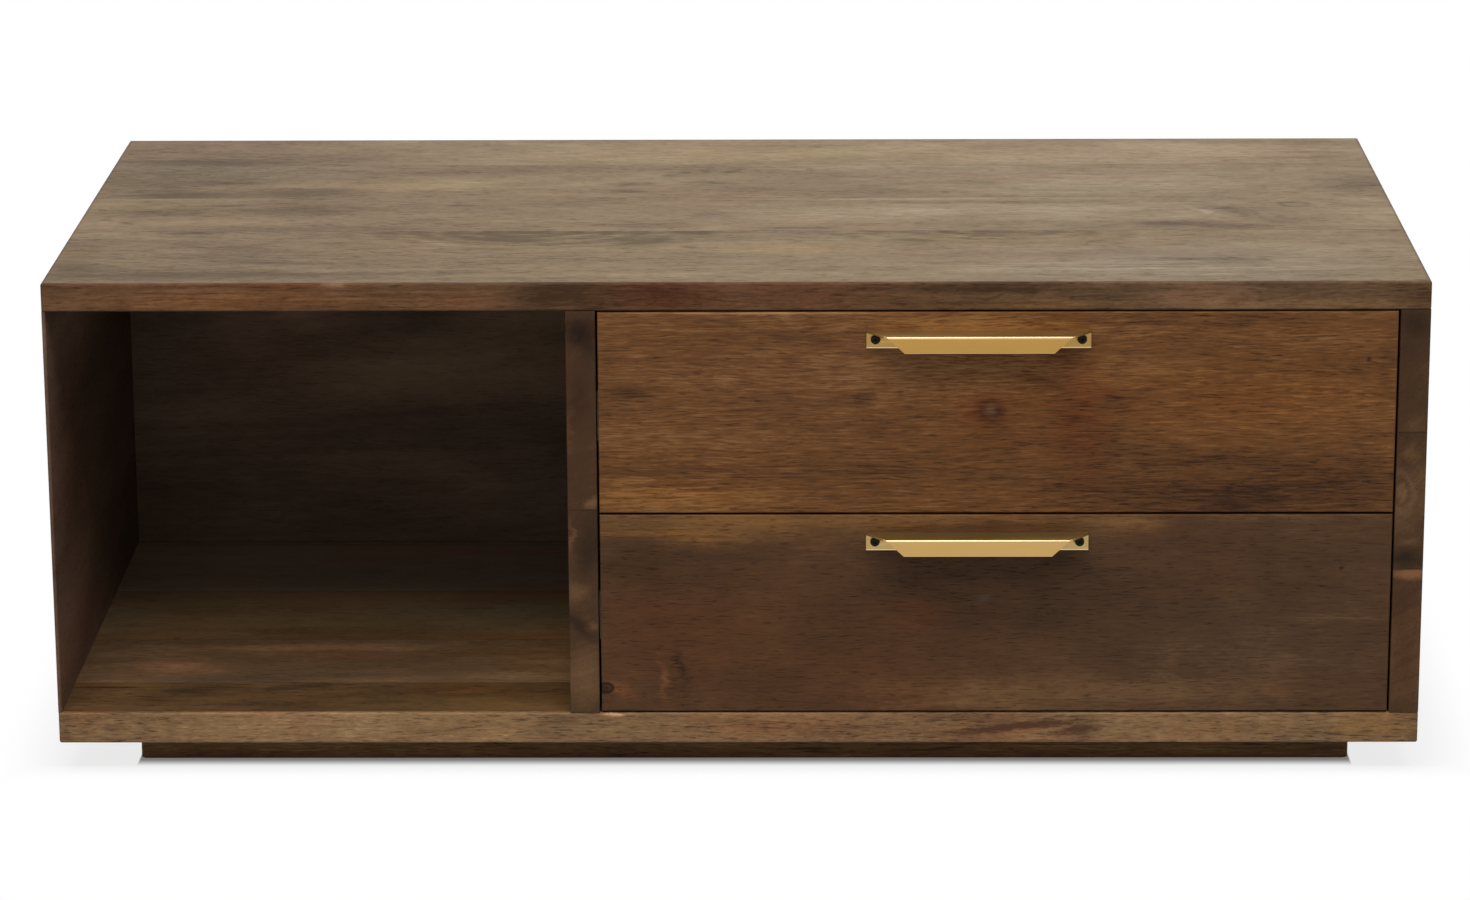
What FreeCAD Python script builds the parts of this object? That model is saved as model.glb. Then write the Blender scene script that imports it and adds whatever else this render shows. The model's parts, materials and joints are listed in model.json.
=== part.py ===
"""Coffee table with an open bay on the left and two stacked drawers on the right.

It stands on a set-back plinth. Every solid is at its real size in millimetres, +Z is up and
the front faces -Y. The origin is on the floor, under the middle of the table with its pulls.
"""
import FreeCAD, Part
import math
import os

# Overall size of the table, from end to end, front edge to back edge and floor to top
table_length = 1200.0
table_depth = 600.0
table_height = 450.0

# Slabs and uprights, glued up from boards
top_thickness = 25.0
base_thickness = 28.0
upright_thickness = 26.0
slab_arris = 2.0
upright_arris = 1.2
# Joints between the boards of the slabs, as shares of the depth from the front edge
top_joint_shares = (0.333, 0.563, 0.802)
base_joint_shares = (0.143, 0.357, 0.613, 0.867)
# Joints between the boards of the uprights, as shares of their height from the base slab
divider_joint_shares = (0.51,)
right_end_joint_shares = (0.36, 0.70)

# Thin left end and the open bay beside it
skin_thickness = 3.0
skin_setback = 1.0
skin_edge_round = 2.0
skin_tongue = 6.0
skin_tongue_stop = 14.0
open_bay_width = 450.0

# Back panel, let into grooves and set in from the rear edges of the slabs
back_thickness = 15.0
back_recess = 50.0
groove_depth = 6.0
groove_side_clearance = 0.1
groove_end_clearance = 0.2

# Plinth and glides
rail_height = 31.0
rail_thickness = 22.0
plinth_left_inset = 65.0
plinth_right_inset = 55.0
plinth_front_inset = 50.0
plinth_back_inset = 50.0
plinth_corner_radius = 6.0
corner_block_leg = 45.0
corner_block_height = 26.0
glide_height = 1.0
glide_radius = 7.0
glide_arris = 0.3
glide_end_inset = 30.0

# Dowels between the uprights and the slabs
dowel_radius = 4.0
dowel_in_slab = 16.0
dowel_in_upright = 20.0
dowel_clearance = 0.1
dowel_end_gap = 1.0
dowel_place_shares = (0.08, 0.27, 0.50, 0.79, 0.94)

# Countersunk screws of the plinth and the back panel
wood_screw_radius = 2.0
wood_screw_head_radius = 3.8
wood_screw_head_height = 2.6
plinth_screw_length = 40.0
plinth_screw_recess = 8.0
back_screw_length = 38.0
screw_clearance = 0.1
rail_screw_shares = (-0.45, -0.20, 0.20, 0.45)
back_screw_shares = (0.12, 0.37, 0.63, 0.88)

# Drawer fronts, inset in the right-hand bay
front_thickness = 20.0
front_arris = 1.2
side_reveal = 1.8
slab_reveal = 1.5
middle_reveal = 2.0

# Drawer boxes, with what they leave free behind, over and under them
box_rear_gap = 25.0
box_side_thickness = 12.0
box_side_rise = 12.0
box_side_drop = 28.0
box_back_thickness = 12.0
box_back_drop = 12.0
box_bottom_thickness = 6.0
box_bottom_rise = 10.0
box_groove_depth = 6.0
box_dowel_radius = 3.0
box_dowel_in_front = 12.0
box_dowel_in_side_end = 18.0
box_dowel_in_side_face = 8.0
box_dowel_in_back = 22.0
box_dowel_shares = (0.25, 0.75)

# Folded sheet pulls and their screws
pull_length = 194.0
pull_plate_height = 15.4
pull_lip_height = 14.8
pull_reach = 24.0
pull_sheet = 1.8
pull_bend_radius = 2.4
pull_lip_top_width = 161.0
pull_lip_bottom_width = 129.0
pull_drop = 16.1
pull_offset = -16.0
pull_screw_inset = 7.7
pull_screw_radius = 2.0
pull_screw_head_radius = 4.0
pull_screw_head_height = 2.4
pull_screw_head_round = 1.0
pull_screw_length = 18.0

# Ball-bearing runners of three members, 45 mm high, 12.7 mm thick and, in this depth, 450 mm long
runner_height = 45.0
runner_thickness = 12.7
runner_setback = 3.0
runner_rear_gap = 62.0
runner_kept_length = 20.0
outer_wall = 1.2
outer_reach = 10.5
outer_lip = 1.0
middle_wall = 1.0
middle_reach = 10.0
inner_wall = 1.2
cage_wall = 0.5
cage_reach = 9.0
cage_gap = 0.3
cage_end_margin = 20.0
ball_radius = 1.6
ball_gap = 0.3
ball_seat_gap = 0.1
ball_place = 6.5
balls_per_race = 8
runner_screw_radius = 1.75
runner_screw_head_radius = 3.2
carcass_screw_length = 14.0
drawer_screw_length = 10.0
runner_screw_shares = (0.08, 0.50, 0.92)

# How far a cutting shape runs past what it cuts
overrun = 5.0

# Places that follow from the sizes
left_x = -table_length / 2
right_x = table_length / 2
skin_inner_x = left_x + skin_thickness
divider_left_x = skin_inner_x + open_bay_width
divider_right_x = divider_left_x + upright_thickness
end_inner_x = right_x - upright_thickness
front_y = (pull_reach - table_depth) / 2
back_y = front_y + table_depth
panel_rear_y = back_y - back_recess
panel_front_y = panel_rear_y - back_thickness
front_rear_y = front_y + front_thickness
box_rear_y = panel_front_y - box_rear_gap
runner_front_y = front_rear_y + runner_setback
runner_length = panel_front_y - runner_rear_gap - runner_front_y
drawer_travel = runner_length - runner_kept_length
rail_low_z = glide_height
base_low_z = rail_low_z + rail_height
base_top_z = base_low_z + base_thickness
top_low_z = table_height - top_thickness
bay_height = top_low_z - base_top_z
drawer_front_height = (bay_height - 2 * slab_reveal - middle_reveal) / 2
box_side_height = drawer_front_height - box_side_rise - box_side_drop
drawer_low_z = {
    "lower": base_top_z + slab_reveal,
    "upper": base_top_z + slab_reveal + drawer_front_height + middle_reveal,
}

X_AXIS = FreeCAD.Vector(1, 0, 0)
Y_AXIS = FreeCAD.Vector(0, 1, 0)
Z_AXIS = FreeCAD.Vector(0, 0, 1)


def block(x_span, y_span, z_span):
    """Returns a box between pairs of values, each pair given in either order."""
    low = [min(span) for span in (x_span, y_span, z_span)]
    high = [max(span) for span in (x_span, y_span, z_span)]
    sizes = [upper - lower for lower, upper in zip(low, high)]
    return Part.makeBox(*sizes, FreeCAD.Vector(*low))


def rod(radius, start, axis, length):
    """Returns a cylinder from a point, along an axis."""
    return Part.makeCylinder(radius, length, FreeCAD.Vector(*start), axis)


def prism(points, direction):
    """Returns a solid made by pushing a closed outline along a vector."""
    corners = [FreeCAD.Vector(*point) for point in points]
    outline = Part.makePolygon(corners + corners[:1])
    return Part.Face(outline).extrude(direction)


def screw(head_point, axis, length, radius, head_radius, head_height):
    """Returns a countersunk screw whose flat head lies at a point and whose tip lies along an axis."""
    point = FreeCAD.Vector(*head_point)
    head = Part.makeCone(head_radius, radius, head_height, point, axis)
    shank = Part.makeCylinder(radius, length, point, axis)
    return head.fuse(shank).removeSplitter()


def screw_hole(head_point, axis, length, radius, head_radius, head_height):
    """Returns the countersunk hole of a screw, wider and deeper by the clearance."""
    tip_length = length + screw_clearance
    return screw(head_point, axis, tip_length, radius + screw_clearance,
                 head_radius + screw_clearance, head_height)


def round_edges(shape, radius, wanted):
    """Rounds the edges that a test picks by their centre and direction."""
    picked = []
    for edge in shape.Edges:
        first, last = edge.Vertexes[0].Point, edge.Vertexes[-1].Point
        if wanted((first + last) / 2, (last - first).normalize()):
            picked.append(edge)
    return shape.makeFillet(radius, picked)


def save(name, shapes):
    """Writes one or more solids as one node."""
    shape = shapes[0] if len(shapes) == 1 else Part.makeCompound(shapes)
    shape.exportStep("parts/" + name + ".step")


def save_boards(name, panel, places, axis):
    """Cuts a glued-up panel at places along Y (axis 1) or Z (axis 2) and writes each board."""
    bound = panel.BoundBox
    spans = [(bound.XMin - overrun, bound.XMax + overrun),
             (bound.YMin - overrun, bound.YMax + overrun),
             (bound.ZMin - overrun, bound.ZMax + overrun)]
    limits = [spans[axis][0]] + list(places) + [spans[axis][1]]
    for number, (low, high) in enumerate(zip(limits, limits[1:]), start=1):
        spans[axis] = (low, high)
        save(name + "_" + str(number), panel.common(block(*spans)).Solids)


def dowel_places():
    """Returns where the dowels of an upright stand, along Y."""
    return [front_y + share * (panel_front_y - front_y) for share in dowel_place_shares]


def upright_dowels(clearance=0.0, end_gap=0.0):
    """Returns the dowels of both uprights, or their holes when a clearance is given."""
    pieces = []
    radius = dowel_radius + clearance
    length = dowel_in_slab + dowel_in_upright + 2 * end_gap
    for x in ((divider_left_x + divider_right_x) / 2, (end_inner_x + right_x) / 2):
        for y in dowel_places():
            pieces.append(rod(radius, (x, y, base_top_z - dowel_in_slab - end_gap), Z_AXIS, length))
            pieces.append(rod(radius, (x, y, top_low_z - dowel_in_upright - end_gap), Z_AXIS, length))
    return pieces


def back_panel_groove():
    """Returns the groove that the back panel stands in, as one cutting block."""
    return block((skin_inner_x - groove_end_clearance, end_inner_x + groove_depth),
                 (panel_front_y - groove_side_clearance, panel_rear_y + groove_side_clearance),
                 (base_top_z - groove_depth, top_low_z + groove_depth))


def skin_tongues(clearance):
    """Returns the part of the left end that runs up into the slabs, or its rebate."""
    return block((left_x, skin_inner_x + clearance),
                 (front_y + skin_tongue_stop - clearance, back_y),
                 (base_top_z - skin_tongue - clearance, top_low_z + skin_tongue + clearance))


def slab(low_z, thickness, inner_z):
    """Returns a slab with eased arrises, grooved for the back panel and drilled for dowels."""
    shape = block((left_x, right_x), (front_y, back_y), (low_z, low_z + thickness))

    def eased(centre, direction):
        return not (abs(centre.x - left_x) < slab_arris and abs(centre.z - inner_z) < slab_arris)

    shape = round_edges(shape, slab_arris, eased)
    return shape.cut([back_panel_groove(), skin_tongues(groove_side_clearance)]
                     + upright_dowels(dowel_clearance, dowel_end_gap))


def upright(x_span, rear_y, rounded_rear):
    """Returns an upright panel between the slabs, its vertical arrises eased."""
    shape = block(x_span, (front_y, rear_y), (base_top_z, top_low_z))

    def eased(centre, direction):
        at_front = abs(centre.y - front_y) < upright_arris
        at_rear = rounded_rear and abs(centre.y - rear_y) < upright_arris
        return abs(direction.z) > 0.5 and (at_front or at_rear)

    shape = round_edges(shape, upright_arris, eased)
    return shape.cut([back_panel_groove()] + upright_dowels(dowel_clearance, dowel_end_gap))


def runner_faces():
    """Returns each runner's side name, the carcass face it is fixed to and its way inwards."""
    return (("left", divider_right_x, 1), ("right", end_inner_x, -1))


def runner_centre_z(drawer):
    return drawer_low_z[drawer] + box_side_rise + box_side_height / 2


def runner_screws(drawer, side_face, inwards, on_carcass, as_holes=False):
    """Returns the screws that fix one runner member, or their holes."""
    make = screw_hole if as_holes else screw
    wall = outer_wall if on_carcass else inner_wall
    length = carcass_screw_length if on_carcass else drawer_screw_length
    head_u = outer_wall if on_carcass else runner_thickness - inner_wall
    way = -inwards if on_carcass else inwards
    pieces = []
    for share in runner_screw_shares:
        y = runner_front_y + share * runner_length
        point = (side_face + inwards * head_u, y, runner_centre_z(drawer))
        pieces.append(make(point, X_AXIS * way, length, runner_screw_radius,
                           runner_screw_head_radius, wall))
    return pieces


def channel(side_face, inwards, y_span, centre_z, web, flange, half_height, wall, lip):
    """Returns a runner channel: a web, two flanges and, where lip isn't zero, turned-in lips.

    web and flange are spans of distance from the carcass face, towards the drawer.
    """
    web_x = [side_face + inwards * place for place in web]
    flange_x = [side_face + inwards * place for place in flange]
    pieces = [block(web_x, y_span, (centre_z - half_height, centre_z + half_height))]
    for way in (-1, 1):
        outer_z = centre_z + way * half_height
        inner_z = outer_z - way * wall
        pieces.append(block(flange_x, y_span, (outer_z, inner_z)))
        if lip:
            lip_x = (flange_x[1] - inwards * wall, flange_x[1])
            pieces.append(block(lip_x, y_span, (outer_z, inner_z - way * lip)))
    return pieces[0].fuse(pieces[1:]).removeSplitter()


# Heights above a runner's middle and distances from the carcass face, worked out from outside in
outer_half = runner_height / 2
outer_ball_z = outer_half - outer_wall - ball_gap - ball_radius
middle_half = outer_ball_z - ball_radius - ball_gap
inner_ball_z = middle_half - middle_wall - ball_gap - ball_radius
inner_half = inner_ball_z - ball_radius - ball_gap
outer_cage_u = outer_wall + cage_gap
middle_u = outer_cage_u + cage_wall + cage_gap
inner_cage_u = middle_u + middle_wall + cage_gap
inner_u = inner_cage_u + cage_wall + cage_gap
runner_y = (runner_front_y, runner_front_y + runner_length)


def outer_member(drawer, side_face, inwards):
    """Returns the runner member that is screwed to the carcass."""
    shape = channel(side_face, inwards, runner_y, runner_centre_z(drawer),
                    (0, outer_wall), (0, outer_reach), outer_half, outer_wall, outer_lip)
    return shape.cut(runner_screws(drawer, side_face, inwards, True, as_holes=True))


def middle_member(drawer, side_face, inwards):
    """Returns the runner member that slides between the other two."""
    return channel(side_face, inwards, runner_y, runner_centre_z(drawer),
                   (middle_u, middle_u + middle_wall), (middle_u, middle_reach),
                   middle_half, middle_wall, 0)


def inner_member(drawer, side_face, inwards):
    """Returns the runner member that is screwed to the drawer side."""
    shape = channel(side_face, inwards, runner_y, runner_centre_z(drawer),
                    (runner_thickness - inner_wall, runner_thickness), (inner_u, runner_thickness),
                    inner_half, inner_wall, 0)
    return shape.cut(runner_screws(drawer, side_face, inwards, False, as_holes=True))


def ball_cage(drawer, side_face, inwards, web_u, ball_z):
    """Returns a cage strip and its balls, which run between two members of a runner."""
    cage_length = runner_length - drawer_travel / 2 - 2 * cage_end_margin
    middle_y = sum(runner_y) / 2
    y_span = (middle_y - cage_length / 2, middle_y + cage_length / 2)
    centre_z = runner_centre_z(drawer)
    cage = channel(side_face, inwards, y_span, centre_z, (web_u, web_u + cage_wall),
                   (web_u, cage_reach), ball_z + cage_wall / 2, cage_wall, 0)
    pitch = cage_length / balls_per_race
    seat_radius = ball_radius + ball_seat_gap
    ball_x = side_face + inwards * ball_place
    seats = []
    balls = []
    for way in (-1, 1):
        for number in range(balls_per_race):
            centre = FreeCAD.Vector(ball_x, y_span[0] + (number + 0.5) * pitch, centre_z + way * ball_z)
            seats.append(Part.makeCylinder(seat_radius, 2 * cage_wall, centre - Z_AXIS * cage_wall, Z_AXIS))
            balls.append(Part.makeSphere(ball_radius, centre))
    return [cage.cut(seats)] + balls


def box_bottom_z(drawer):
    return drawer_low_z[drawer] + box_side_rise + box_bottom_rise


def box_sides_x():
    """Returns the outer and inner face of the left and the right drawer side."""
    left = divider_right_x + runner_thickness
    right = end_inner_x - runner_thickness
    return ((left, left + box_side_thickness), (right, right - box_side_thickness))


def box_dowels(drawer, clearance=0.0, end_gap=0.0):
    """Returns the dowels of a drawer's four corners, or their holes."""
    pieces = []
    radius = box_dowel_radius + clearance
    low_z = drawer_low_z[drawer] + box_side_rise
    back_low_z = box_bottom_z(drawer) + box_bottom_thickness
    back_height = low_z + box_side_height - box_back_drop - back_low_z
    back_y_middle = box_rear_y - box_back_thickness / 2
    end_length = box_dowel_in_front + box_dowel_in_side_end + 2 * end_gap
    face_length = box_dowel_in_side_face + box_dowel_in_back + 2 * end_gap
    for outer_x, inner_x in box_sides_x():
        inwards = math.copysign(1, inner_x - outer_x)
        side_x = (outer_x + inner_x) / 2
        face_x = inner_x - inwards * (box_dowel_in_side_face + end_gap)
        for share in box_dowel_shares:
            end_z = low_z + share * box_side_height
            end_y = front_rear_y - box_dowel_in_front - end_gap
            pieces.append(rod(radius, (side_x, end_y, end_z), Y_AXIS, end_length))
            face_z = back_low_z + share * back_height
            pieces.append(rod(radius, (face_x, back_y_middle, face_z), X_AXIS * inwards, face_length))
    return pieces


def box_bottom(drawer, clearance=0.0, end_gap=0.0):
    """Returns the drawer bottom, or the groove that takes it."""
    (left, left_inner), (right, right_inner) = box_sides_x()
    inset = box_groove_depth - groove_end_clearance + end_gap
    low_z = box_bottom_z(drawer)
    return block((left_inner - inset, right_inner + inset), (front_rear_y - inset, box_rear_y + end_gap),
                 (low_z - clearance, low_z + box_bottom_thickness + clearance))


def pull_centre_x():
    return (divider_right_x + end_inner_x) / 2 + pull_offset


def pull_top_z(drawer):
    return drawer_low_z[drawer] + drawer_front_height - pull_drop


def pull_screws(drawer, as_holes=False):
    """Returns the two pan-head screws of a pull, or their holes."""
    pieces = []
    radius = pull_screw_radius + (screw_clearance if as_holes else 0)
    length = pull_screw_length + (screw_clearance if as_holes else 0)
    z = pull_top_z(drawer) - pull_plate_height / 2
    plate_y = front_y - pull_sheet
    for way in (-1, 1):
        x = pull_centre_x() + way * (pull_length / 2 - pull_screw_inset)
        shank = rod(radius, (x, plate_y, z), Y_AXIS, length)
        if as_holes:
            pieces.append(shank)
            continue
        head = rod(pull_screw_head_radius, (x, plate_y, z), -Y_AXIS, pull_screw_head_height)
        rim_y = plate_y - pull_screw_head_height
        rim = [edge for edge in head.Edges if abs(edge.BoundBox.YMin - rim_y) < pull_screw_head_round / 2
               and edge.BoundBox.YLength < pull_screw_head_round / 2]
        head = head.makeFillet(pull_screw_head_round, rim)
        pieces.append(head.fuse(shank).removeSplitter())
    return pieces


def pull(drawer):
    """Returns a pull folded from one sheet: a plate, a flange on top and a lip in front."""
    top_z = pull_top_z(drawer)
    lip_y = front_y - pull_reach
    left = pull_centre_x() - pull_length / 2
    outline = [(left, front_y, top_z - pull_plate_height), (left, front_y, top_z), (left, lip_y, top_z),
               (left, lip_y, top_z - pull_lip_height),
               (left, lip_y + pull_sheet, top_z - pull_lip_height),
               (left, lip_y + pull_sheet, top_z - pull_sheet),
               (left, front_y - pull_sheet, top_z - pull_sheet),
               (left, front_y - pull_sheet, top_z - pull_plate_height)]
    shape = prism(outline, X_AXIS * pull_length)

    def bend(place_y, place_z):
        def at_bend(centre, direction):
            near = abs(centre.y - place_y) < pull_sheet / 2 and abs(centre.z - place_z) < pull_sheet / 2
            return abs(direction.x) > 0.5 and near
        return at_bend

    inner_radius = pull_bend_radius - pull_sheet
    shape = round_edges(shape, inner_radius, bend(lip_y + pull_sheet, top_z - pull_sheet))
    shape = round_edges(shape, inner_radius, bend(front_y - pull_sheet, top_z - pull_sheet))
    shape = round_edges(shape, pull_bend_radius, bend(lip_y, top_z))
    cuts = pull_screws(drawer, as_holes=True)
    plate_front_y = front_y - pull_sheet
    for way in (-1, 1):
        middle = pull_centre_x()
        plate_x = middle + way * pull_length / 2
        top_x = middle + way * pull_lip_top_width / 2
        bottom_x = middle + way * pull_lip_bottom_width / 2
        beyond_x = plate_x + way * overrun
        low_z = top_z - pull_lip_height - overrun
        flange_end = [(plate_x, plate_front_y, low_z), (top_x, lip_y, low_z),
                      (top_x, lip_y - overrun, low_z), (beyond_x, lip_y - overrun, low_z),
                      (beyond_x, plate_front_y, low_z)]
        cuts.append(prism(flange_end, Z_AXIS * (pull_lip_height + 2 * overrun)))
        lip_end = [(top_x, lip_y - overrun, top_z), (bottom_x, lip_y - overrun, top_z - pull_lip_height),
                   (bottom_x, lip_y - overrun, low_z), (beyond_x, lip_y - overrun, low_z),
                   (beyond_x, lip_y - overrun, top_z)]
        cuts.append(prism(lip_end, Y_AXIS * (overrun + pull_sheet + inner_radius)))
    return shape.cut(cuts)


def drawer_front(drawer):
    """Returns a drawer front with its outer arrises eased."""
    low_z = drawer_low_z[drawer]
    shape = block((divider_right_x + side_reveal, end_inner_x - side_reveal), (front_y, front_rear_y),
                  (low_z, low_z + drawer_front_height))

    def eased(centre, direction):
        return abs(centre.y - front_y) < front_arris

    shape = round_edges(shape, front_arris, eased)
    return shape.cut(box_dowels(drawer, dowel_clearance, dowel_end_gap)
                     + pull_screws(drawer, as_holes=True)
                     + [box_bottom(drawer, groove_side_clearance, groove_end_clearance)])


def drawer_side(drawer, side_face, inwards, faces_x):
    """Returns one side of a drawer box, grooved and drilled."""
    low_z = drawer_low_z[drawer] + box_side_rise
    shape = block(faces_x, (front_rear_y, box_rear_y), (low_z, low_z + box_side_height))
    return shape.cut(box_dowels(drawer, dowel_clearance, dowel_end_gap)
                     + [box_bottom(drawer, groove_side_clearance, groove_end_clearance)]
                     + runner_screws(drawer, side_face, inwards, False, as_holes=True))


def drawer_back(drawer):
    """Returns the back of a drawer box, which stands on the bottom between the sides."""
    (left, left_inner), (right, right_inner) = box_sides_x()
    low_z = box_bottom_z(drawer) + box_bottom_thickness
    high_z = drawer_low_z[drawer] + box_side_rise + box_side_height - box_back_drop
    shape = block((left_inner, right_inner), (box_rear_y - box_back_thickness, box_rear_y), (low_z, high_z))
    return shape.cut(box_dowels(drawer, dowel_clearance, dowel_end_gap))


def make_drawer(drawer):
    """Writes every piece of one drawer and of its pair of runners."""
    save(drawer + "_drawer_front", [drawer_front(drawer)])
    save(drawer + "_drawer_back", [drawer_back(drawer)])
    save(drawer + "_drawer_bottom", [box_bottom(drawer)])
    save(drawer + "_drawer_dowels", box_dowels(drawer))
    save(drawer + "_pull", [pull(drawer)])
    save(drawer + "_pull_screws", pull_screws(drawer))
    middles = []
    outer_cages = []
    inner_cages = []
    screws = []
    for (side_name, side_face, inwards), faces_x in zip(runner_faces(), box_sides_x()):
        side = drawer_side(drawer, side_face, inwards, faces_x)
        save(drawer + "_drawer_" + side_name + "_side", [side])
        save(drawer + "_" + side_name + "_runner_outer", [outer_member(drawer, side_face, inwards)])
        save(drawer + "_" + side_name + "_runner_inner", [inner_member(drawer, side_face, inwards)])
        middles.append(middle_member(drawer, side_face, inwards))
        outer_cages += ball_cage(drawer, side_face, inwards, outer_cage_u, outer_ball_z)
        inner_cages += ball_cage(drawer, side_face, inwards, inner_cage_u, inner_ball_z)
        screws += runner_screws(drawer, side_face, inwards, False)
    save(drawer + "_runner_middles", middles)
    save(drawer + "_runner_outer_cages", outer_cages)
    save(drawer + "_runner_inner_cages", inner_cages)
    save(drawer + "_drawer_runner_screws", screws)


def carcass_runner_screws(as_holes=False):
    """Returns the screws, or their holes, that fix both pairs of runners to the uprights."""
    pieces = []
    for drawer in drawer_low_z:
        for side_name, side_face, inwards in runner_faces():
            pieces += runner_screws(drawer, side_face, inwards, True, as_holes)
    return pieces


def back_screws(as_holes=False):
    """Returns the screws, or their holes, that fix the back panel to the divider."""
    make = screw_hole if as_holes else screw
    x = (divider_left_x + divider_right_x) / 2
    return [make((x, panel_rear_y, base_top_z + share * bay_height), -Y_AXIS, back_screw_length,
                 wood_screw_radius, wood_screw_head_radius, wood_screw_head_height)
            for share in back_screw_shares]


# Plinth, as a frame of rails under the base slab
plinth_left_x = left_x + plinth_left_inset
plinth_right_x = right_x - plinth_right_inset
plinth_middle_x = (plinth_left_x + plinth_right_x) / 2
plinth_front_y = front_y + plinth_front_inset
plinth_back_y = back_y - plinth_back_inset
rail_z = (rail_low_z, base_low_z)
front_rail_y = (plinth_front_y, plinth_front_y + rail_thickness)
back_rail_y = (plinth_back_y - rail_thickness, plinth_back_y)


def plinth_screws(as_holes=False):
    """Returns the screws that go up through the long rails into the base slab, or their holes."""
    make = screw_hole if as_holes else screw
    plinth_length = plinth_right_x - plinth_left_x
    pieces = []
    for rail_y in (front_rail_y, back_rail_y):
        for share in rail_screw_shares:
            x = plinth_middle_x + share * plinth_length
            point = (x, sum(rail_y) / 2, rail_low_z + plinth_screw_recess)
            pieces.append(make(point, Z_AXIS, plinth_screw_length, wood_screw_radius,
                               wood_screw_head_radius, wood_screw_head_height))
            if as_holes:
                pieces.append(rod(wood_screw_head_radius + screw_clearance, point, -Z_AXIS,
                                  plinth_screw_recess + overrun))
    return pieces


def long_rail(rail_y, outer_y):
    """Returns the front or back rail, its two outer corners rounded."""
    shape = block((plinth_left_x, plinth_right_x), rail_y, rail_z)

    def outer_corner(centre, direction):
        return abs(direction.z) > 0.5 and abs(centre.y - outer_y) < rail_thickness / 2

    return round_edges(shape, plinth_corner_radius, outer_corner).cut(plinth_screws(as_holes=True))


def corner_blocks():
    """Returns the glue blocks in the four inner corners of the plinth."""
    blocks = []
    low_z = base_low_z - corner_block_height
    for x, x_way in ((plinth_left_x + rail_thickness, 1), (plinth_right_x - rail_thickness, -1)):
        for y, y_way in ((front_rail_y[1], 1), (back_rail_y[0], -1)):
            outline = [(x, y, low_z), (x + x_way * corner_block_leg, y, low_z),
                       (x, y + y_way * corner_block_leg, low_z)]
            blocks.append(prism(outline, Z_AXIS * corner_block_height))
    return blocks


def glides():
    """Returns the six round pads that the table stands on."""
    pads = []
    for x in (plinth_left_x + glide_end_inset, plinth_middle_x, plinth_right_x - glide_end_inset):
        for rail_y in (front_rail_y, back_rail_y):
            pad = rod(glide_radius, (x, sum(rail_y) / 2, 0), Z_AXIS, glide_height)
            rim = [edge for edge in pad.Edges if edge.BoundBox.ZMax < glide_arris]
            pads.append(pad.makeChamfer(glide_arris, rim))
    return pads


def make_plinth():
    """Writes the plinth's rails, blocks, screws and glides."""
    between_y = (front_rail_y[1], back_rail_y[0])
    cross_x = (plinth_middle_x - rail_thickness / 2, plinth_middle_x + rail_thickness / 2)
    save("plinth_front_rail", [long_rail(front_rail_y, plinth_front_y)])
    save("plinth_back_rail", [long_rail(back_rail_y, plinth_back_y)])
    save("plinth_left_rail", [block((plinth_left_x, plinth_left_x + rail_thickness), between_y, rail_z)])
    save("plinth_right_rail", [block((plinth_right_x, plinth_right_x - rail_thickness), between_y, rail_z)])
    save("plinth_cross_rail", [block(cross_x, between_y, rail_z)])
    save("plinth_corner_blocks", corner_blocks())
    save("plinth_screws", plinth_screws())
    save("glides", glides())


def left_end_skin():
    """Returns the thin left end, with tongues that lie in the rebates of the slabs."""
    front = front_y + skin_setback
    sheet = block((left_x, skin_inner_x), (front, back_y), (base_top_z, top_low_z))

    def inner_front(centre, direction):
        at_front = abs(centre.y - front) < skin_edge_round
        return abs(direction.z) > 0.5 and at_front and abs(centre.x - skin_inner_x) < skin_thickness / 2

    sheet = round_edges(sheet, skin_edge_round, inner_front)
    return sheet.fuse(skin_tongues(0.0)).removeSplitter()


def back_panel():
    """Returns the back panel with its edges in the grooves."""
    inset = groove_depth - groove_end_clearance
    shape = block((skin_inner_x, end_inner_x + inset), (panel_front_y, panel_rear_y),
                  (base_top_z - inset, top_low_z + inset))
    return shape.cut(back_screws(as_holes=True))


def make_carcass():
    """Writes the slabs, uprights, left end, back panel and what joins them."""
    base = slab(base_low_z, base_thickness, base_top_z).cut(plinth_screws(as_holes=True))
    save_boards("base_board", base, [front_y + share * table_depth for share in base_joint_shares], 1)
    top = slab(top_low_z, top_thickness, top_low_z)
    save_boards("top_board", top, [front_y + share * table_depth for share in top_joint_shares], 1)
    runner_holes = carcass_runner_screws(as_holes=True)
    divider = upright((divider_left_x, divider_right_x), panel_front_y, False)
    divider = divider.cut(runner_holes + back_screws(as_holes=True))
    save_boards("divider_board", divider,
                [base_top_z + share * bay_height for share in divider_joint_shares], 2)
    right_end = upright((end_inner_x, right_x), back_y, True).cut(runner_holes)
    save_boards("right_end_board", right_end,
                [base_top_z + share * bay_height for share in right_end_joint_shares], 2)
    save("left_end_skin", [left_end_skin()])
    save("back_panel", [back_panel()])
    save("carcass_dowels", upright_dowels())
    save("back_panel_screws", back_screws())
    save("runner_carcass_screws", carcass_runner_screws())


os.makedirs("parts", exist_ok=True)
make_carcass()
make_plinth()
for drawer_name in drawer_low_z:
    make_drawer(drawer_name)
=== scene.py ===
# %% [markdown]
# A walnut-brown coffee table: an open bay on the left, two drawers with folded brass pulls on the right.
# The CAD frame holds every board, runner and screw at its real size. This script dresses them: it gives
# each board its own grain, makes the small pieces that need modelling, and lights the table in a plain
# studio.

# %% Load the frame
import json
import math
from dataclasses import dataclass

import bmesh
import bpy
from mathutils import Matrix, Vector


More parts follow.
